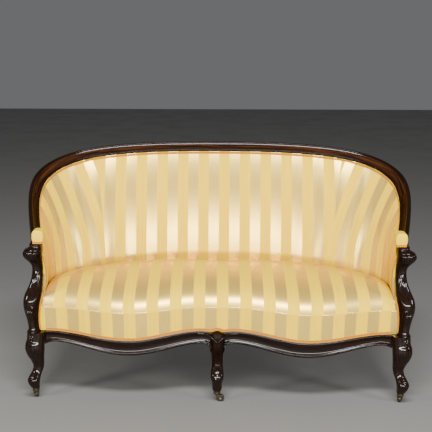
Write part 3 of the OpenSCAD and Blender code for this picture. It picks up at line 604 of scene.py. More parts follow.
def plain_material(name, colour, dirt, scale, amount, gloss, relief, **uniform):
    return new_material(name, uneven, {"Colour": colour, "Dirt": dirt, "Scale": scale, "Amount": amount,
        "Gloss": gloss}, "object", relief, uniform)


# Pitch of the stripes, and where they start on the seat, on the back and on its sides
stripe_pitch = 0.1
back_pitch = 0.1006
seat_phase = 0.29
back_phase = 0.20
side_phase = 0.48
rosewood = wood_material("polished_rosewood", (0.003, 0.0014, 0.0008, 1), (0.014, 0.0050, 0.0022, 1), 0.7)
crest_wood = wood_material("figured_crest_rosewood", (0.007, 0.0025, 0.0010, 1), (0.052, 0.0165, 0.0045, 1),
    0.9)
seat_satin = satin_material("striped_satin_seat", stripe_pitch, seat_phase)
back_satin = satin_material("striped_satin_back", back_pitch, back_phase)
side_satin = satin_material("striped_satin_sides", stripe_pitch, side_phase)
outer_back_satin_for_shade = satin_material("striped_satin_outer_back_for_shade", back_pitch, back_phase, 0.0, outer_yellow_for_shade,
    outer_champagne_for_shade)
outer_side_satin_for_shade = satin_material("striped_satin_outer_sides_for_shade", stripe_pitch, side_phase, 0.0, outer_yellow_for_shade,
    outer_champagne_for_shade)
pad_satin = satin_material("plain_yellow_satin", stripe_pitch, 0.0, 1.0)
braid_gold = plain_material("gold_braid", (0.44, 0.185, 0.014, 1), (0.26, 0.09, 0.007, 1), 260, 0.7, 0.6,
    (0.3, 0.0006), **{"Specular IOR Level": 0.15})
aged_brass = plain_material("aged_brass", (0.085, 0.062, 0.028, 1), (0.02, 0.017, 0.011, 1), 120, 0.85,
    0.32, (0.15, 0.0004), Metallic=0.9)
wheel_brass = plain_material("dark_wheel_brass", (0.035, 0.03, 0.018, 1), (0.012, 0.011, 0.008, 1), 150,
    0.8, 0.34, (0.2, 0.0004), Metallic=0.7)
dull_steel = plain_material("dull_steel", (0.28, 0.27, 0.26, 1), (0.09, 0.06, 0.04, 1), 130, 0.7, 0.36,
    (0.15, 0.0004), Metallic=0.9)
raw_beech = plain_material("raw_beech", (0.42, 0.27, 0.14, 1), (0.24, 0.14, 0.07, 1), 30, 0.6, 0.6,
    (0.3, 0.0008))
flax_cloth = plain_material("flax_cloth", (0.42, 0.34, 0.22, 1), (0.28, 0.21, 0.13, 1), 420, 0.6, 0.8,
    (0.5, 0.0006))
black_cloth = plain_material("black_under_cloth", (0.018, 0.017, 0.018, 1), (0.045, 0.042, 0.04, 1), 500,
    0.6, 0.75, (0.5, 0.0005), **{"Sheen Weight": 0.2})


# Show wood

# Moulded section of the crest rail: outward and upward shares, with how much painted shade each place has
# (its beads and underside are painted dark)
crest_section = [(-0.36, -0.50, 1), (-0.43, -0.495, 1), (-0.48, -0.47, 1), (-0.51, -0.43, 1),
    (-0.52, -0.38, 1), (-0.51, -0.33, 1), (-0.48, -0.29, 1), (-0.44, -0.27, 1), (-0.41, -0.275, 1),
    (-0.395, -0.25, 0.8), (-0.36, -0.205, 0.1), (-0.30, -0.16, 0), (-0.20, -0.075, 0), (-0.10, 0.035, 0),
    (-0.01, 0.14, 0), (0.06, 0.235, 0.1), (0.10, 0.31, 0.5), (0.115, 0.35, 1), (0.105, 0.385, 1),
    (0.12, 0.43, 1), (0.155, 0.47, 1), (0.21, 0.495, 1), (0.28, 0.50, 1), (0.35, 0.49, 1), (0.41, 0.465, 1),
    (0.46, 0.42, 1), (0.49, 0.35, 1), (0.50, 0.25, 0.9), (0.50, 0.0, 0.5), (0.50, -0.25, 0.5),
    (0.50, -0.45, 0.7), (0.48, -0.50, 1), (0.2, -0.50, 1), (-0.1, -0.50, 1)]


shade_from = 0.10
shade_over = 0.22
dull_from = 0.20
dull_over = 0.26
lower_bead = -0.36
upper_bead = 0.11


def crest_length(name, start, end, material, node, slot):
    """One length of the crest rail, with painted shade that deepens and a coat that dulls where it comes down
    to the arms.
    """
    rings, shade, dull = [], [], []
    for way in ways(start, end):
        c = crest_at(way)
        n, b = axes_at(way)[1:]
        rings.append([c + p[0] * rail_t * n + p[1] * rail_h * b for p in crest_section])
        half = way if way <= 1 else 2 - way
        # Painted shade: the streaks fade out towards the arm rails.
        painted_arm_shade = 1 - ease((half - shade_from) / shade_over)
        shade += [max(p[2], painted_arm_shade) for p in crest_section]
        lower = 1 - ease((half - dull_from) / dull_over)
        for p in crest_section:
            bead = p[0] < lower_bead or p[0] > upper_bead
            dull.append(max(lower if p[0] < upper_bead else 0, 0.6 * (1 - lower) if bead else 0))
    return loft_piece(name, rings, material, shade, dull, slot=slot, replaces=[node])


crest_length("polished_crest_centre", post_share, 2 - post_share, crest_wood, "crest_rail_centre",
    "polished_wood")
crest_length("polished_shoulder_left", arm_share, post_share, crest_wood, "crest_shoulder_left",
    "polished_wood")
crest_length("polished_shoulder_right", 2 - post_share, 2 - arm_share, crest_wood, "crest_shoulder_right",
    "polished_wood")
crest_length("polished_arm_rail_left", 0, arm_share, crest_wood, "arm_rail_left", "dark_wood")
crest_length("polished_arm_rail_right", 2 - arm_share, 2, crest_wood, "arm_rail_right", "dark_wood")


def ridge(a, z, line, width):
    """How near a place is to a carved line, from 0 far off to 1 on it."""
    place, nearest = Vector((a, z)), 1.0
    for start, end in zip(line, line[1:]):
        p, q = Vector(start), Vector(end)
        share = min(1, max(0, (place - p).dot(q - p) / (q - p).length_squared))
        nearest = min(nearest, (place - p - share * (q - p)).length)
    return bell(nearest, width)


def volute(a, b, size, start, turns=1.35):
    """Height of a carved scroll at a place: a ridge that winds in to an eye."""
    r, angle = math.hypot(a, b), math.atan2(b, a) - start
    height = 0
    for k in range(3):
        along = (angle % (2 * math.pi) + 2 * math.pi * k) / (2 * math.pi * turns)
        if along <= 1:
            height = max(height, bell(r - size * (1 - 0.78 * along), 0.16 * size))
    return height + 1.1 * bell(r, 0.24 * size)


ring_points = 72


def carved_ring(x, y, z, half_x, half_y, power, relief):
    """One ring of a carved piece: a squared oval, moved in or out by the height of its carving."""
    ring = []
    for j in range(ring_points):
        angle = 2 * math.pi * j / ring_points
        px, py = squared_oval(half_x, half_y, power, angle)
        out = Vector((math.cos(angle), math.sin(angle), 0))
        ring.append(Vector((x + px, y + py, z)) + relief(angle, math.hypot(px, py), z) * out)
    return ring


def away(angle, middle):
    """Turn from a middle angle to another one, from half a turn back to half a turn on."""
    return (angle - middle + math.pi) % (2 * math.pi) - math.pi


front_side = -math.pi / 2


# Lines of the scroll on the right arm support: place round the front, height
scroll_back = [(-0.006, 0.424), (-0.018, 0.418), (-0.025, 0.406), (-0.020, 0.392), (-0.008, 0.377),
    (0.007, 0.368)]
scroll_eye = [(0.022, 0.411), (0.017, 0.402), (0.008, 0.398), (-0.004, 0.398)]
knob_z = 0.651
knob_turn = -0.5
crossing_z = 0.548


def support_relief(angle, radius, z):
    """Carving of the right arm support: a leafy knob, a crossing ridge, a scrolled knee and its shank."""
    a = away(angle, front_side) * radius
    deep = 0
    knob = bell(z - knob_z, 0.022) * max(0, math.cos(away(angle, knob_turn)))
    deep += 0.0022 * knob * math.cos(9 * away(angle, knob_turn) + 40 * (z - knob_z))
    spreading = 0.95 * min(1, abs(z - crossing_z - 0.005) / 0.055)
    for side in (-1, 1):
        crossing = bell(away(angle, front_side + side * spreading), 0.13)
        deep += 0.0012 * crossing * bell(z - crossing_z, 0.036)
    hollow = bell(away(angle, front_side), 0.5) * (bell(z - 0.600, 0.028) + 0.8 * bell(z - 0.505, 0.03))
    deep -= 0.0020 * hollow
    deep += 0.0040 * max(ridge(a, z, scroll_back, 0.0045), ridge(a, z, scroll_eye, 0.0045))
    deep += 0.0016 * bell(away(angle, -0.55), 0.12) * bell(z - 0.36, 0.05)
    return deep


def arm_support(side, name, node):
    """The carved support of an arm, from the corner leg up to the arm rail."""
    rings, dull = [], []
    for t in spread(0, 1, 150):
        z = leg_top + t * (arm_h - leg_top)
        outer, inner = smooth(support_shares, t, 1) * support_w, smooth(support_shares, t, 2) * support_w
        depth = smooth(support_shares, t, 3) * support_d
        ring = carved_ring(support_x + (outer + inner) / 2, arm_back_y - depth / 2, z, (outer - inner) / 2,
            depth / 2, 3, support_relief)
        rings.append(ring)
        dull += [ease(-1.6 * math.cos(2 * math.pi * j / ring_points) - 0.1) for j in range(ring_points)]
    return loft_piece(name, to_side(rings, side), rosewood, dull=dull, slot="dark_wood", replaces=[node])


arm_support(-1, "carved_support_left", "arm_support_left")
arm_support(1, "carved_support_right", "arm_support_right")


toe_z = 0.108
knee_z = 0.283


def leg_relief(turn, small):
    """Carving of a cabriole leg: a scroll at the knee's top, one above the toe, and flutes on the foot."""
    def relief(angle, radius, z):
        a = away(angle, turn) * radius
        deep = 0
        if small:
            for lobe_a, lobe_z in ((0.001, 0.136), (-0.0070, 0.114), (0.0040, 0.112)):
                deep += 0.0022 * bell(math.hypot(a - lobe_a, z - lobe_z), 0.0040)
            deep -= 0.0012 * bell(a, 0.003) * bell(z - toe_z, 0.010)
        else:
            deep += 0.0026 * volute(a + 0.002, z - toe_z, 0.013, 2.0) * bell(away(angle, turn), 0.9)
            knee = volute(away(angle, turn - 0.35) * radius, z - knee_z, 0.014, 0.6)
            deep += 0.0024 * knee * bell(z - knee_z, 0.03)
        flutes = bell(z - 0.078, 0.016) * max(0, math.cos(away(angle, turn)))
        return deep - 0.0011 * flutes * (1 - math.cos(10 * away(angle, turn))) / 2
    return relief


leg_roundness = 2.6
keystone_roundness = 2.3
shank_low = 0.142
shank_high = 0.29


def cabriole_leg(table, width, x, turn, name, node, side=1, crown=False):
    """A leg that steps out towards a turn and back, and the keystone over it if it has a crown."""
    relief = leg_relief(turn, crown)
    rings = []
    for t in spread(0, 1, 130):
        reach, half = smooth(table, t, 1) * leg_reach, smooth(table, t, 2) * width / 2
        rings.append(carved_ring(x + reach * math.cos(turn), reach * math.sin(turn),
            cup_top + t * (leg_top - cup_top), half, half, leg_roundness, relief))
    if crown:
        for share in spread(0.04, 1, 14):
            half = centre_half * (1 - share) ** 0.75
            depth = 0.029 - 0.007 * ease(share)
            rings.append(carved_ring(0, -depth / 2, leg_top + keystone_h * share, max(half, 0.001),
                depth / 2, keystone_roundness, lambda angle, radius, z: 0))
    rings = to_side(rings, side)
    dull = [ease((p.z - leg_top) / 0.002) for ring in rings for p in ring]
    if crown:
        worn = [0.9 * ease((p.z - shank_low) / 0.01) * (1 - ease((p.z - shank_high) / 0.01))
                for ring in rings for p in ring]
        dull = [max(a, b) for a, b in zip(dull, worn)]
    return loft_piece(name, rings, rosewood, dull=dull, slot="dark_wood", replaces=[node])


def joined(piece, rings, dull=0.0):
    """Adds a closed tube of rings to a piece, in the same mesh."""
    mesh = piece.data
    points = [p for ring in rings for p in ring]
    added = {"grain": [(p.x, p.z, p.y) for p in points], "shade": [0.0] * len(points),
        "dull": [dull] * len(points)}
    before = {name: noted(mesh, name) for name in added}
    first = len(mesh.vertices)
    places = [tuple(v.co) for v in mesh.vertices] + [tuple(placed(p)) for p in points]
    faces = [tuple(p.vertices) for p in mesh.polygons]
    faces += [tuple(first + i for i in face) for face in capped(len(rings), len(rings[0]))]
    kept = mesh.materials[0]
    mesh.clear_geometry()
    mesh.from_pydata(places, [], faces)
    finished(mesh, 35)
    if not mesh.materials:
        mesh.materials.append(kept)
    for name, values in added.items():
        if name in mesh.attributes:
            mesh.attributes.remove(mesh.attributes[name])
        note(piece, name, np.concatenate([before[name], np.array(values, np.float32)]))


def softened_box(low, high, round_by):
    """A block with its upright edges rounded, as rings from the bottom up."""
    rings = []
    for z, inset in ((low[2], round_by), (low[2] + round_by, 0), (high[2] - round_by, 0),
            (high[2], round_by)):
        ring = []
        for cx, cy, first in ((1, 1, 0), (-1, 1, 1), (-1, -1, 2), (1, -1, 3)):
            for k in range(4):
                angle = (first + k / 3) * math.pi / 2
                x = (high[0] - round_by - inset * 0.3 if cx > 0 else low[0] + round_by + inset * 0.3)
                y = (high[1] - round_by - inset * 0.3 if cy > 0 else low[1] + round_by + inset * 0.3)
                ring.append(Vector((x + round_by * math.cos(angle), y + round_by * math.sin(angle), z)))
        rings.append(ring)
    return rings


block_end = base_at(2.0).x + seat_rail_t / 2
corner_angle = -math.pi / 4
for side, name in ((-1, "left"), (1, "right")):
    leg = cabriole_leg(corner_leg_shares, leg_w, leg_x, corner_angle, "carved_leg_" + name,
        "front_leg_" + name, side=side)
    rings = softened_box((rail_end_x, -0.004, rail_low), (block_end, arm_back_y, leg_top), 0.003)
    joined(leg, to_side(rings, side), dull=0.8)
centre_leg = cabriole_leg(centre_leg_shares, centre_leg_w, 0, front_side, "carved_leg_centre",
    "front_leg_centre", crown=True)
block = softened_box((-centre_half, 0.010, leg_top - 0.001), (centre_half, front_rail_d, rail_top), 0.002)
joined(centre_leg, block)


def spline(points, count):
    """Smooth line through a few points, by equal steps of the parameter."""
    found = []
    n = len(points)
    for i in range(count):
        s = (n - 1) * i / (count - 1)
        k = min(int(s), n - 2)
        t = s - k
        p = [Vector(points[min(max(k + d, 0), n - 1)]) for d in (-1, 0, 1, 2)]
        found.append(0.5 * (2 * p[1] + (p[2] - p[0]) * t + (2 * p[0] - 5 * p[1] + 4 * p[2] - p[3]) * t * t
                            + (3 * p[1] - p[0] - 3 * p[2] + p[3]) * t**3))
    return found


def tube(path, radius, sides=12):
    """Rings round a path, with a radius for each point of it."""
    rings = []
    for i, p in enumerate(path):
        t = (path[min(i + 1, len(path) - 1)] - path[max(i - 1, 0)]).normalized()
        across = t.cross(Vector((0, 1, 0))).normalized()
        up = across.cross(t)
        rings.append([p + radius[i] * (math.cos(a) * across + math.sin(a) * up)
                      for a in (2 * math.pi * k / sides for k in range(sides))])
    return rings


# Section of the front rail from its lower rear edge round to its top: share of depth, share of height
front_section = [(0.53, 0), (0.3, 0), (0.13, 0), (0.04, 0.012), (-0.04, 0.04), (-0.10, 0.08), (-0.13, 0.13),
    (-0.11, 0.18), (-0.05, 0.22), (0.02, 0.25), (0.07, 0.29), (0.10, 0.38), (0.105, 0.48), (0.10, 0.58),
    (0.07, 0.68), (0.03, 0.72), (0.0, 0.735), (-0.03, 0.77), (-0.09, 0.82), (-0.125, 0.87), (-0.125, 0.93),
    (-0.09, 0.975), (-0.04, 1.0), (0.1, 1.0), (0.33, 1.0)]


# Curls where the beads of the front rail run in over the centre leg, from the rail to the leg
upper_curl = [(0.085, -0.0035, 0.3060), (0.060, -0.0055, 0.3055), (0.043, -0.0130, 0.3025),
    (0.0285, -0.0235, 0.2965), (0.0175, -0.0308, 0.2900), (0.008, -0.0335, 0.2820),
    (0.002, -0.0338, 0.2740)]
lower_curl = [(0.085, -0.0040, 0.2655), (0.058, -0.0060, 0.2650), (0.044, -0.0110, 0.2610),
    (0.034, -0.0180, 0.2540), (0.0295, -0.0200, 0.2420), (0.0280, -0.0180, 0.2280)]


def front_rail(side, name, node):
    """Half of the front rail, swept along its bay, with the two curls at its inner end."""
    rings = []
    for x in spread(centre_half - 0.004, rail_end_x + 0.006, 110):
        y, low, high = face_y(x), face_low(x), face_top(x)
        ring = [Vector((x, y + p[0] * front_rail_d, low + p[1] * (high - low))) for p in front_section]
        ring += [Vector((x, y + 0.010, rail_top)), Vector((x, y + front_rail_d, rail_top)),
                 Vector((x, y + front_rail_d, rail_low + 0.001)),
                 Vector((x, y + 0.53 * front_rail_d, rail_low + 0.001))]
        rings.append(ring)
    rail = loft_piece(name, to_side(rings, side), rosewood, slot="dark_wood", replaces=[node])
    for line, count, thick, thinner in ((upper_curl, 40, 0.0044, 0.0011), (lower_curl, 30, 0.0042, 0.0022)):
        path = spline(line, count)
        radius = [thick - thinner * i / (count - 1) for i in range(count)]
        joined(rail, to_side(tube(path, radius), side))
    return rail


front_rail(-1, "moulded_front_rail_left", "front_rail_left")
front_rail(1, "moulded_front_rail_right", "front_rail_right")


def post_ring(c, along, out, half_along, half_out):
    """One ring of a post: a nearly square oval round a place, with its two directions."""
    ring = []
    for j in range(40):
        a, o = squared_oval(half_along, half_out, 6, -2 * math.pi * j / 40)
        ring.append(c + a * along + o * out)
    return ring


def rear_leg(side, name, node):
    """A raked rear leg and the back post above it, in one length of wood."""
    c = base_at(2 - post_share)
    heading, n = axes_at(2 - post_share)[:2]
    along = Vector((heading.x, heading.y, 0)).normalized()
    rings = []
    for t in spread(0, 1, 40):
        rake, grow = smooth(rear_leg_shares, t, 1), smooth(rear_leg_shares, t, 2)
        half_along = (rear_foot + (post_w - rear_foot) * grow) / 2
        half_out = (rear_foot + (2 * post_half - rear_foot) * grow) / 2
        if t == 0:
            half_along, half_out = half_along - 0.002, half_out - 0.002
        rings.append(post_ring(Vector((c.x, c.y, t * rail_low)) + rake * rear_rake * n, along, n,
            half_along, half_out))
    rings.append(post_ring(c, along, n, post_w / 2, post_half))
    top = under_crest(2 - post_share) - Vector((0, 0, post_drop))
    rings.append(post_ring(top, heading, n, post_w / 2, post_half))
    return loft_piece(name, to_side(rings, side), rosewood, slot="dark_wood", replaces=[node])


rear_leg(-1, "polished_rear_leg_left", "rear_leg_left")
rear_leg(1, "polished_rear_leg_right", "rear_leg_right")


# Upholstery

stuffing_cloth = {"quality": 5, "mass": 0.25, "tension_stiffness": 25, "compression_stiffness": 25,
    "shear_stiffness": 12, "bending_stiffness": 2.5, "vertex_group_mass": "tacked", "use_pressure": True}


def swell(piece, tacked, pressure, cap, frames=20):
    """Cloth simulation of a padded piece: tacked points stay, and no point moves further than the cap."""
    mesh = piece.data
    held = piece.vertex_groups.new(name="tacked")
    for i, weight in enumerate(tacked):
        if weight > 0:
            held.add([i], weight, "REPLACE")
    rest = np.zeros(len(mesh.vertices) * 3)
    mesh.vertices.foreach_get("co", rest)
    cloth = piece.modifiers.new("stuffing", "CLOTH")
    for label, value in stuffing_cloth.items():
        setattr(cloth.settings, label, value)
    cloth.settings.uniform_pressure_force = pressure
    cloth.settings.effector_weights.gravity = 0
    cloth.collision_settings.use_collision = False
    cloth.point_cache.frame_start = 1
    cloth.point_cache.frame_end = frames
    scene = bpy.context.scene
    for step in range(1, frames + 1):
        scene.frame_set(step)
    solved = piece.evaluated_get(bpy.context.evaluated_depsgraph_get())
    moved = np.zeros(len(mesh.vertices) * 3)
    solved.data.vertices.foreach_get("co", moved)
    piece.modifiers.remove(cloth)
    scene.frame_set(1)
    shift = (moved - rest).reshape(-1, 3)
    length = np.linalg.norm(shift, axis=1)
    shift *= (cap * np.tanh(length / cap) / np.maximum(length, 1e-9))[:, None]
    mesh.vertices.foreach_set("co", (rest.reshape(-1, 3) + shift).ravel())
    mesh.update()
    piece.vertex_groups.remove(held)


def developed(low, high):
    """Lays a stretch of wall out flat: where its lower and upper edges come, from an upright start."""
    bottoms, tops = [Vector((0, 0))], [Vector((0, (high[0] - low[0]).length))]
    for i in range(1, len(low)):
        b, t = bottoms[-1], tops[-1]
        axis = (t - b).normalized()
        side = Vector((axis.y, -axis.x))

        def beside(point):
            edge = point - low[i - 1]
            run = edge.dot((high[i - 1] - low[i - 1]).normalized())
            return b + run * axis + math.sqrt(max(edge.length_squared - run * run, 0)) * side

        bottoms.append(beside(low[i]))
        tops.append(beside(high[i]))
    return bottoms, tops


def gathered(v):
    """How far the stripes of a side panel lean out from the seam at a height of the cloth."""
    rise = max(0, v - 0.13)
    return 0.25 * rise * rise / (rise + 0.06)


def panel_weave(stations, rows, mirrored):
    """Weave coordinates of a side panel, so that its stripes run straight in the cloth as it was cut."""
    turn = 1 if mirrored else -1
    low = [wall_at(w, pad_share(w, 0), stuffing_out) for w in stations[::turn]]
    high = [wall_at(w, pad_share(w, 1), stuffing_out) for w in stations[::turn]]
    bottoms, tops = developed(low, high)
    weave = []
    for b, t in zip(bottoms[::turn], tops[::turn]):
        for row in rows:
            p = b + (t - b) * row
            weave.append((p.x - gathered(p.y), p.y, 0))
    return weave


def back_panel(start, end, name, nodes, material, kind):
    """One stuffed panel of the back, from a place on the way round to another."""
    stations = ways(start, end, 4)
    rows = [ease(r) * 0.35 + r * 0.65 for r in spread(0, 1, 40)]
    columns = len(rows)
    skin = seat_gap + cloth_t
    cap = 0.007
    points, tacked = [], []
    for way in stations:
        edge = 1 if way in (stations[0], stations[-1]) else 0
        for k, row in enumerate(rows):
            depth = pad_depth(way, row)
            by_row = min(1, 6 * row, 8 * (1 - row))
            by_way = min(1, 14 * (way - start), 14 * (end - way))
            slack = cap * 0.8 * by_row * by_way
            points.append(wall_at(way, pad_share(way, row), stuffing_out - depth - skin + max(0, slack)))
            tacked.append(1 if edge or k in (0, columns - 1) else 0)
    for way in stations:
        for row in rows:
            points.append(wall_at(way, pad_share(way, row), stuffing_out))
            tacked.append(1)
    faces = two_layers(len(stations), columns)
    piece = piece_from(name, [placed(p) for p in points], faces, material, slot="satin", replaces=nodes,
        sharp=60)
    if kind == "centre":
        weave = [(p.x, p.z, 0) for p in points]
    else:
        one_side = panel_weave(stations, rows, kind == "right")
        weave = one_side + one_side
    note(piece, "weave", weave)
    swell(piece, tacked, 3.0, cap)
    return piece


back_panel(seam_share, 2 - seam_share, "back_pad_centre", ["back_cover_centre", "back_stuffing_centre"],
    back_satin, "centre")
back_panel(0, seam_share, "back_pad_left", ["back_cover_left", "back_stuffing_left"], side_satin, "left")
back_panel(2 - seam_share, 2, "back_pad_right", ["back_cover_right", "back_stuffing_right"], side_satin,
    "right")


def row_of(way, z):
    """Share of the way up the padded panel at a height."""
    low = share_at(way, tack_top)
    return (share_at(way, z) - low) / (1 - low)


def side_place(way):
    """Where the edge of the seat meets the panels of the back."""
    out = stuffing_out - pad_depth(way, row_of(way, seat_back_h)) - cloth_t - seat_margin
    p = wall_at(way, share_at(way, seat_back_h), out)
    return p.x, p.y, 0


def support_inner(z):
    """Where the arm support's inner side stands at a height."""
    t = min(1, max(0, (z - leg_top) / (arm_h - leg_top)))
    return support_x + smooth(support_shares, t, 2) * support_w - 0.0015


outline_steps = 96
outline_first = 8


def seat_outline(end_x, swollen=0):
    """Places round the seat, from the right rear side round the back and along the front."""
    sides = [side_place(2 - i / outline_steps) for i in range(outline_first,
        2 * outline_steps - outline_first + 1)]
    edge = face_y(end_x) + seat_setback - swollen * border_swell
    turn = [(end_x - corner_turn * (1 - math.sin(a)), edge + corner_turn * (1 - math.cos(a)), 1)
            for a in (math.pi / 2 * k / 6 for k in range(1, 7))]
    front = [(x, face_y(x) + seat_setback - swollen * border_swell, 1)
             for x in spread(corner_turn - end_x, end_x - corner_turn, 160)]
    left = [(-end_x, arm_back_y / 2, 1)] + [(-x, y, k) for x, y, k in reversed(turn)]
    return sides + left + front + turn + [(end_x, arm_back_y / 2, 1)]


def fold_z(p):
    """Height of the fold round the seat's top at a place of its outline."""
    fall = max(0, 1 - p[1] / frame_depth) ** seat_fall_power
    return (seat_back_h - bay_fold * bay_wave(p[0]) * p[2]
            + (seat_front_h - end_fold * (p[0] / support_x) ** 2 - seat_back_h) * fall)


def puckers(x, seed=0.0):
    """Uneven small gathers along a tacked edge."""
    broad = math.sin(410 * x + seed)
    middling = 0.6 * math.sin(733 * x + 1.3 + 2 * seed)
    fine = 0.4 * math.sin(1190 * x + 0.5 + seed)
    return (broad + middling + fine) / 2


# Front of the seat: share of the border's height, share of its swell
border_rows = [(0, 0), (0.04, 0.12), (0.12, 0.34), (0.22, 0.58), (0.34, 0.84), (0.46, 1.1), (0.55, 1.3),
    (0.595, 1.42), (0.605, 1.40), (0.61, 1.33), (0.96, 1.38), (0.96, 1.30), (0.96, 1.12), (0.96, 0.85),
    (0.96, 0.50), (0.96, 0.10), (0.96, -0.30)]
top_scales = [0.981, 0.975, 0.968, 0.958, 0.944, 0.928, 0.910, 0.888, 0.862, 0.83, 0.79, 0.74, 0.68, 0.60,
    0.51, 0.41, 0.31, 0.21, 0.11]
edge_swell = 1.40
edge_round = 0.009
round_h = 0.060
round_len = 0.038
round_slope = 0.20
round_blend = 0.006


def rounded_front(x, y, z):
    """Height of the seat's top, brought down to the round of its front edge above the crease."""
    low = face_top(x) + seat_gap
    edge = face_y(x) + seat_setback - edge_swell * border_swell
    back = max(0, y - edge)
    top = low + crease_share * (fold_z((x, edge, 1)) - low)
    top += round_h * (1 - math.exp(-back / round_len)) + round_slope * back
    return -round_blend * math.log(math.exp(-z / round_blend) + math.exp(-top / round_blend))


def seat_pad():
    """The seat's cover over its stuffing: a border below a crease, a rounded front edge and a dome."""
    cap = 0.008
    count = len(seat_outline(support_x))
    points, tacked, weave = [], [], []

    def low_at(p):
        return face_top(p[0]) + seat_gap if p[2] else rail_top + 0.005

    for row, swollen in border_rows:
        flat_end = support_inner(leg_top + row * (seat_front_h - leg_top))
        for p in seat_outline(flat_end, swollen):
            low = low_at(p)
            gather = 0.0005 * puckers(p[0]) * math.exp(-row / 0.1)
            gather += 0.0004 * puckers(p[0], 2.0) * math.exp(-abs(row - crease_share) / 0.05)
            z = low + row * (fold_z(p) - low)
            if row > crease_share:
                z = rounded_front(p[0], p[1], z)
            points.append(Vector((p[0], p[1] - gather * p[2], z)))
            tacked.append(1 if row in (0, crease_share) or not p[2] else 0)
            weave.append((p[0] / (0.985 if row < crease_share else 1), points[-1].y + points[-1].z, 0))
    middle = Vector((0, frame_depth / 2, 0))
    outline = seat_outline(support_inner(seat_front_h))
    for scale in top_scales:
        for p in outline:
            place = Vector((p[0], p[1], 0))
            q = middle + scale * (place - middle)
            roll = roll_len + (back_roll_len - roll_len) * ease(p[1] / frame_depth / roll_reach)
            fall = (seat_crown_h - dome_sag - fold_z(p)) * scale ** ((place - middle).length / roll)
            slack = cap * 0.6 * min(1, 5 * (1 - scale)) + edge_round * math.exp(-(1 - scale) / 0.02)
            z = seat_crown_h - dome_sag * scale * scale - fall - slack
            points.append(Vector((q.x, q.y, rounded_front(q.x, q.y, z))))
            tacked.append(0)
            weave.append((q.x, q.y + points[-1].z, 0))
    rings = len(border_rows) + len(top_scales)
    centre = len(points)
    points.append(Vector((0, middle.y, seat_crown_h - 0.6 * cap)))
    tacked.append(0)
    weave.append((0, middle.y + seat_crown_h, 0))
    faces = skin_faces(rings, count)
    last = (rings - 1) * count
    faces += [(last + j, last + (j + 1) % count, centre) for j in range(count)]
    under = len(points)
    for p in seat_outline(support_inner(leg_top)):
        q = middle + 0.98 * (Vector((p[0], p[1], 0)) - middle)
        points.append(Vector((q.x, q.y, low_at(p) + 0.02)))
        tacked.append(1)
        weave.append((q.x, q.y, 0))
    faces += [(j, (j + 1) % count, under + (j + 1) % count, under + j) for j in range(count)]
    faces.append(tuple(under + j for j in range(count)))
    piece = piece_from("seat_pad", [placed(p) for p in points], faces, seat_satin, slot="satin",
        replaces=["seat_cover", "seat_stuffing"], sharp=75)
    note(piece, "weave", weave)
    swell(piece, tacked, 3.0, cap)
    return piece


seat_pad()


# Arm rests: where they stand on the rails, and which points of each ring are tacked down
pad_inset = 0.018
pad_front = -0.030
pad_back = 0.042
pad_rise = 0.022
pad_power = 3.0
pad_sides = 40
tack_first = 27
tack_last = 33


def way_of(y):
    """Way round the crest at a distance behind the front end of an arm rail."""
    return arm_share * y / (crest_side_y - start_y)


def arm_pad(side, name, node):
    """A padded arm rest on the front end of an arm rail."""
    start_way, end_way = way_of(pad_front), way_of(pad_back)
    rings, weave = [], []
    cap = 0.004
    high = pad_h + pad_rise
    for s in spread(0, 1, 46):
        front = math.sqrt(1 - (1 - min(1, s / 0.10)) ** 2)
        close = 1 - 0.3 * ease((s - 0.7) / 0.3)
        k = (0.82 + 0.18 * front) * close
        way = start_way + s * (end_way - start_way)
        c = crest_at(way)
        n, b = axes_at(way)[1:]
        lift = rail_h / 2 + seat_gap + high / 2 * (0.94 + 0.06 * k)
        ring = []
        for j in range(pad_sides):
            x, y = squared_oval((pad_w / 2 - 0.6 * cap) * k, (high / 2 - 0.4 * cap) * k, pad_power,
                2 * math.pi * j / pad_sides)
            ring.append(c + (x - pad_inset) * n + (lift + y) * b)
            weave.append((x, s * pad_len, 0))
        rings.append(ring)
    points = [placed(p) for ring in to_side(rings, -side) for p in ring]
    faces = capped(len(rings), pad_sides)
    piece = piece_from(name, points, faces, pad_satin, slot="satin", replaces=[node], sharp=60)
    note(piece, "weave", weave)
    tacked = [1 if tack_first <= j % pad_sides <= tack_last else 0 for j in range(len(points))]
    swell(piece, tacked, 5.0, cap)
    return piece


arm_pad(-1, "arm_rest_left", "arm_pad_left")
arm_pad(1, "arm_rest_right", "arm_pad_right")


def front_inset(way, row):
    """How far the outer cloth of an arm stands in at its front, by the waist of the support."""
    near = way if way <= 1 else 2 - way
    return 0.013 * math.sin(math.pi * min(1, row / 0.94)) ** 0.7 * (1 - ease(near / 0.06))


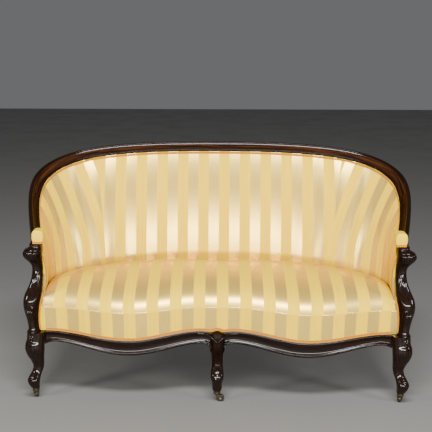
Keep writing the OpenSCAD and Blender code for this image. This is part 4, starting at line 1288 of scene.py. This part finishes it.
def outer_cloth_panel(start, end, name, node, kind):
    """One panel of the outer back cloth, from under the crest rail to the bottom of the seat rails."""
    stations = ways(start, end, 4)
    rows = spread(0, 1, 26)
    points, weave_rows = [], []
    for layer in (cloth_t, 0):
        for way in stations:
            n = axes_at(way)[1]
            points.append(base_at(way) - Vector((0, 0, seat_rail_h)) + (outer_cloth + layer) * n)
            for row in rows:
                bow = 0.001 * 4 * row * (1 - row) - front_inset(way, row)
                points.append(wall_at(way, row, outer_cloth + layer + bow))
    count = len(stations)
    faces = two_layers(count, len(rows) + 1)
    # The outer cloth takes the copy of the satin that is recoloured for shade.
    cloth = outer_back_satin_for_shade if kind == "centre" else outer_side_satin_for_shade
    piece = piece_from(name, [placed(p) for p in points], faces, cloth, slot="satin", replaces=[node],
        sharp=50)
    low = [wall_at(w, 0, outer_cloth) for w in stations]
    high = [wall_at(w, 1, outer_cloth) for w in stations]
    if kind == "centre":
        weave = [(p.x, p.z, 0) for p in points]
    else:
        turn = 1 if kind == "left" else -1
        bottoms, tops = developed(low[::turn], high[::turn])
        one_layer = []
        for b, t in zip(bottoms[::turn], tops[::turn]):
            places = [b + (b - t).normalized() * seat_rail_h] + [b + (t - b) * row for row in rows]
            one_layer += [(p.x, p.y, 0) for p in places]
        weave = one_layer + one_layer
    note(piece, "weave", weave)
    return piece


outer_cloth_panel(seam_share, 2 - seam_share, "outer_cloth_centre", "outer_back_centre", "centre")
outer_cloth_panel(0, seam_share, "outer_cloth_left", "outer_back_left", "left")
outer_cloth_panel(2 - seam_share, 2, "outer_cloth_right", "outer_back_right", "right")


# Braid

def braid_tree():
    """Loops of cord along a line of points, each turned to face the way its point is told to face."""
    tree = bpy.data.node_groups.new("braid_loops", "GeometryNodeTree")
    face = tree.interface
    face.new_socket("Geometry", in_out="INPUT", socket_type="NodeSocketGeometry")
    for label, value in (("Loop length", 0.0042), ("Loop width", 0.0042), ("Cord radius", 0.0009)):
        socket = face.new_socket(label, in_out="INPUT", socket_type="NodeSocketFloat")
        socket.default_value = value
    face.new_socket("Material", in_out="INPUT", socket_type="NodeSocketMaterial")
    face.new_socket("Geometry", in_out="OUTPUT", socket_type="NodeSocketGeometry")
    given = add(tree, "NodeGroupInput").outputs
    out = add(tree, "NodeGroupOutput").inputs
    ring = fed(tree, "GeometryNodeCurvePrimitiveCircle", {"Resolution": 8, "Radius": 1.0})
    size = fed(tree, "ShaderNodeCombineXYZ", {"X": given["Loop length"], "Y": given["Loop width"], "Z": 1.0})
    oval = fed(tree, "GeometryNodeTransform", {"Geometry": ring["Curve"], "Scale": size[0]})
    cord = fed(tree, "GeometryNodeCurvePrimitiveCircle", {"Resolution": 4, "Radius": given["Cord radius"]})
    solid = fed(tree, "GeometryNodeCurveToMesh", {"Curve": oval["Geometry"],
        "Profile Curve": cord["Curve"]})
    told = [fed(tree, "GeometryNodeInputNamedAttribute", {"Name": label},
        data_type="FLOAT_VECTOR")["Attribute"] for label in ("facing", "along")]
    turn = fed(tree, "FunctionNodeAxesToRotation", {0: told[0], 1: told[1]}, primary_axis="Z",
        secondary_axis="X")
    points = fed(tree, "GeometryNodeMeshToPoints", {"Mesh": given["Geometry"]})
    loops = fed(tree, "GeometryNodeInstanceOnPoints", {"Points": points["Points"],
        "Instance": solid["Mesh"], "Rotation": turn["Rotation"]})
    real = fed(tree, "GeometryNodeRealizeInstances", {"Geometry": loops["Instances"]})
    dressed = fed(tree, "GeometryNodeSetMaterial", {"Geometry": real["Geometry"],
        "Material": given["Material"]})
    wire(tree, dressed["Geometry"], out["Geometry"])
    return tree


braid_loops = braid_tree()
loop_spacing = 0.0058
loop_length = 0.0030
braid_skin = 2 * seat_gap + cloth_t


def run_tree(points, tree, values, vectors):
    """Runs a geometry tree on a line of points and returns the plain mesh that it makes."""
    mesh = bpy.data.meshes.new("line")
    mesh.from_pydata([tuple(p) for p in points], [], [])
    for label, rows in vectors.items():
        stored = mesh.attributes.new(label, "FLOAT_VECTOR", "POINT")
        stored.data.foreach_set("vector", np.array(rows, np.float32).ravel())
    carrier = bpy.data.objects.new("line", mesh)
    bpy.context.scene.collection.objects.link(carrier)
    maker = carrier.modifiers.new("loops", "NODES")
    maker.node_group = tree
    for item in tree.interface.items_tree:
        if item.item_type == "SOCKET" and item.in_out == "INPUT" and item.name in values:
            maker[item.identifier] = values[item.name]
    solved = carrier.evaluated_get(bpy.context.evaluated_depsgraph_get())
    made = bpy.data.meshes.new_from_object(solved)
    carrier.modifiers.remove(maker)
    bpy.data.objects.remove(carrier)
    bpy.data.meshes.remove(mesh)
    return made


def even_line(line, spacing):
    """Points at an even spacing along a line of (place, facing) pairs, with the direction along it."""
    found, left = [], spacing / 2
    for (p, f), (q, g) in zip(line, line[1:]):
        length = (q - p).length
        run = left
        while run < length:
            t = run / length
            found.append((p + (q - p) * t, (f + (g - f) * t).normalized(), (q - p).normalized()))
            run += spacing
        left = run - length
    return found


# Section of the braid's ribbon: across and up, as shares of its half width and of its thickness
ribbon_section = [(-1, 0), (-1, 0.55), (-0.93, 0.85), (-0.82, 0.95), (-0.7, 0.8), (-0.6, 0.5), (0.6, 0.5),
    (0.7, 0.8), (0.82, 0.95), (0.93, 0.85), (1, 0.55), (1, 0)]


def braid(name, line, width, thick, replaces=(), body="frame"):
    """A ribbon with corded edges along a line, and a row of loops down its middle."""
    rings = []
    for i, (p, facing) in enumerate(line):
        t = (line[min(i + 1, len(line) - 1)][0] - line[max(i - 1, 0)][0]).normalized()
        across = facing.cross(t).normalized()
        up = t.cross(across)
        rings.append([p + a * width / 2 * across + u * thick * up for a, u in ribbon_section])
    points = [placed(p) for ring in rings for p in ring]
    faces = capped(len(rings), len(ribbon_section))
    spots = even_line(line, loop_spacing)
    lifted = [placed(p + 0.62 * thick * f) for p, f, t in spots]
    values = {"Loop length": loop_length, "Loop width": 0.27 * width, "Cord radius": 0.16 * thick,
        "Material": braid_gold}
    vectors = {"facing": [f for p, f, t in spots], "along": [t for p, f, t in spots]}
    loops = run_tree(lifted, braid_loops, values, vectors)
    first = len(points)
    points += [v.co.copy() for v in loops.vertices]
    faces += [tuple(first + i for i in p.vertices) for p in loops.polygons]
    bpy.data.meshes.remove(loops)
    return piece_from(name, points, faces, braid_gold, body=body, slot="gimp", replaces=replaces, sharp=70)


def crest_braid():
    """Braid along the top of the back and of the arms, under the crest rail."""
    line = []
    for way in ways(0.004, 1.996, 6):
        out = stuffing_out - pad_depth(way, 0.99) - braid_skin
        top, low = wall_at(way, pad_share(way, 1), out), wall_at(way, pad_share(way, 0.93), out)
        up = (top - low).normalized()
        line.append((top - 0.0065 * up, -axes_at(way)[1]))
    return braid("crest_braid", line, 0.0105, gimp_t, replaces=["crest_gimp"])


def keystone_rise(x):
    """How far the braid of the front rises over the keystone."""
    share = min(1, abs(x) / centre_half)
    return keystone_h * (1 - ease(share * 0.85) / ease(0.85)) if share < 1 else 0


def front_braid():
    """Braid along the foot of the seat's border, on top of the front rail."""
    line = []
    for x in spread(-front_end_x, front_end_x, 260):
        lift = keystone_rise(x) + gimp_w / 2
        y = face_y(x) + seat_setback - seat_gap - 0.0009 * lift / gimp_w
        line.append((Vector((x, y, face_top(x) + seat_gap + lift)), Vector((0, -1, 0))))
    return braid("front_rail_braid", line, gimp_w, gimp_t, replaces=["front_rail_gimp"])


def faced(line, side):
    """A line of (place, facing) pairs of the left side, as it is or mirrored for the right side."""
    if side < 0:
        return line
    return [(Vector((-p.x, p.y, p.z)), Vector((-f.x, f.y, f.z))) for p, f in line]


def support_braid(side, name, node):
    """Braid up the front edge of an arm's inner panel, beside the arm support."""
    line = []
    for row in spread(0.24, 0.965, 60):
        p, q = [wall_at(way, pad_share(way, row), stuffing_out - pad_depth(way, row) - braid_skin)
                for way in (0, 1 / 24)]
        line.append((p + 0.0055 * (q - p).normalized(), -axes_at(0)[1]))
    return braid(name, faced(line, side), 0.010, gimp_t, replaces=[node])


def end_braid(side, name):
    """Braid up the end of the seat's border, beside the arm support."""
    line = []
    fullest = 1.42
    for t in spread(0.02, 0.45, 40):
        z = leg_top + t * (arm_h - leg_top)
        row = (z - leg_top) / (seat_front_h - leg_top)
        lean = fullest * min(1, row / 0.6) if row < 0.62 else fullest - 1.5 * (row - 0.62) / 0.38
        place = Vector((side * (support_inner(z) - 0.0045), seat_setback - lean * border_swell - 0.0004, z))
        line.append((place, Vector((-0.35 * side, -1, 0)).normalized()))
    return braid(name, line, 0.0075, 0.0022)


def pad_braid(side, name):
    """Braid across the front of an arm rest, at its foot."""
    start_way = way_of(pad_front)
    c, (t, n, b) = crest_at(start_way), axes_at(start_way)
    half = pad_w / 2 * 0.76
    lift = rail_h / 2 + 0.0072
    line = [(c + (a * half - pad_inset) * n + lift * b - 0.0004 * t, -t) for a in spread(-1, 1, 12)]
    return braid(name, faced(line, side), 0.009, 0.0022)


crest_braid()
front_braid()
support_braid(-1, "support_braid_left", "arm_gimp_left")
support_braid(1, "support_braid_right", "arm_gimp_right")
end_braid(-1, "seat_end_braid_left")
end_braid(1, "seat_end_braid_right")
pad_braid(-1, "pad_braid_left")
pad_braid(1, "pad_braid_right")


def under_cloth():
    """Cloth drawn tight beneath the seat, with a little sag."""
    low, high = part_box("dust_cover")
    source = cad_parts["dust_cover"].data
    work = bmesh.new()
    work.from_mesh(source)
    bmesh.ops.remove_doubles(work, verts=work.verts, dist=1e-6)
    edge = [v.co.copy() for v in work.verts if v.co.z < low.z + 0.0004]
    work.free()
    centre = sum(edge, Vector()) / len(edge)
    edge.sort(key=lambda p: math.atan2(p.y - centre.y, p.x - centre.x))
    count = len(edge)
    scales = [1, 0.97, 0.9, 0.78, 0.6, 0.4, 0.2, 0.05]
    sag = 0.006
    ripple = 0.0004
    points = []
    for layer, order in ((0.0, scales), (cloth_t, scales[::-1])):
        for scale in order:
            for p in edge:
                q = centre + scale * (p - centre)
                z = low.z + layer - sag * (1 - scale**2) + ripple * math.sin(60 * p.x) * scale
                points.append(Vector((q.x, q.y, z)))
    last = (2 * len(scales) - 1) * count
    faces = skin_faces(2 * len(scales), count)
    faces += [(j, (j + 1) % count, last + (j + 1) % count, last + j) for j in range(count)]
    piece = piece_from("under_cloth", points, faces, black_cloth, slot="black_cloth",
        replaces=["dust_cover"], sharp=60)
    return piece


under_cloth()


# Nodes that stay as they are, with their finishes
kept_finishes = [
    (raw_beech, ["side_rail_left", "side_rail_right", "back_rail", "back_tack_rail", "side_tack_rail_left",
        "side_tack_rail_right", "back_uprights", "seat_stretcher", "corner_blocks"]),
    (flax_cloth, ["seat_webbing", "spring_canvas", "back_canvas"]),
    (dull_steel, ["seat_springs"]),
    (aged_brass, ["caster_screws"])]
for place in ("left", "right", "centre"):
    kept_finishes.append((aged_brass, ["caster_socket_" + place, "caster_fork_" + place]))
    kept_finishes.append((dull_steel, ["caster_axle_" + place]))
    kept_finishes.append((wheel_brass, ["caster_wheel_" + place]))
for finish, nodes in kept_finishes:
    for node in nodes:
        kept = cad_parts[node]
        kept.data.materials.clear()
        kept.data.materials.append(finish)


# Camera, floor and light
camera_place = (-0.0173, -3.4276 - mid_y, 1.6188)
camera_shift = 29.9
view_side = 432
view_scale = 845.5
sensor = 36
camera_down = 0.2280
camera_turn = 0.0343
floor_half = 12
camera = bpy.data.objects.new("camera", bpy.data.cameras.new("camera"))
bpy.context.scene.collection.objects.link(camera)
camera.location = camera_place
camera.rotation_euler = (math.pi / 2 - camera_down, 0, camera_turn)
camera.data.sensor_width = sensor
camera.data.lens = view_scale / view_side * sensor
camera.data.shift_x = camera_shift / view_side
bpy.context.scene.camera = camera

floor_material = plain_material("pale_floor", (0.15, 0.147, 0.140, 1), (0.138, 0.135, 0.129, 1), 2, 0.5,
    0.55, (0.02, 0.001))
floor_mesh = bpy.data.meshes.new("floor")
floor_corners = [(x * floor_half, y * floor_half, 0) for x, y in ((-1, -1), (1, -1), (1, 1), (-1, 1))]
floor_mesh.from_pydata(floor_corners, [], [(0, 1, 2, 3)])
floor_mesh.materials.append(floor_material)
floor = bpy.data.objects.new("floor", floor_mesh)
bpy.context.scene.collection.objects.link(floor)

world = bpy.data.worlds.new("studio")
world.use_nodes = True
sky = world.node_tree.nodes["Background"].inputs
sky["Color"].default_value = (0.62, 0.63, 0.65, 1)
sky["Strength"].default_value = 0.24
bpy.context.scene.world = world


def softbox(name, place, target, width, height, power, colour=(1, 1, 1)):
    """A rectangular lamp that faces a target."""
    lamp = bpy.data.lights.new(name, "AREA")
    lamp.shape = "RECTANGLE"
    lamp.size, lamp.size_y = width, height
    lamp.energy = power
    lamp.color = colour
    light = bpy.data.objects.new(name, lamp)
    light.location = place
    light.rotation_euler = (Vector(target) - Vector(place)).to_track_quat("-Z", "Y").to_euler()
    bpy.context.scene.collection.objects.link(light)


softbox("overhead_box", (0.0, -3.0, 5.4), (0, 0, 0.4), 3.2, 0.9, 560)
softbox("front_box", (0.1, -4.3, 1.0), (0, 0, 0.5), 4.4, 0.36, 350, (1, 0.98, 0.95))
softbox("left_box", (-2.9, -1.9, 1.5), (0, 0, 0.5), 0.45, 0.6, 62, (1, 0.97, 0.93))
softbox("right_box", (3.0, -1.7, 1.4), (0, 0, 0.5), 0.45, 0.6, 56, (0.97, 0.98, 1))
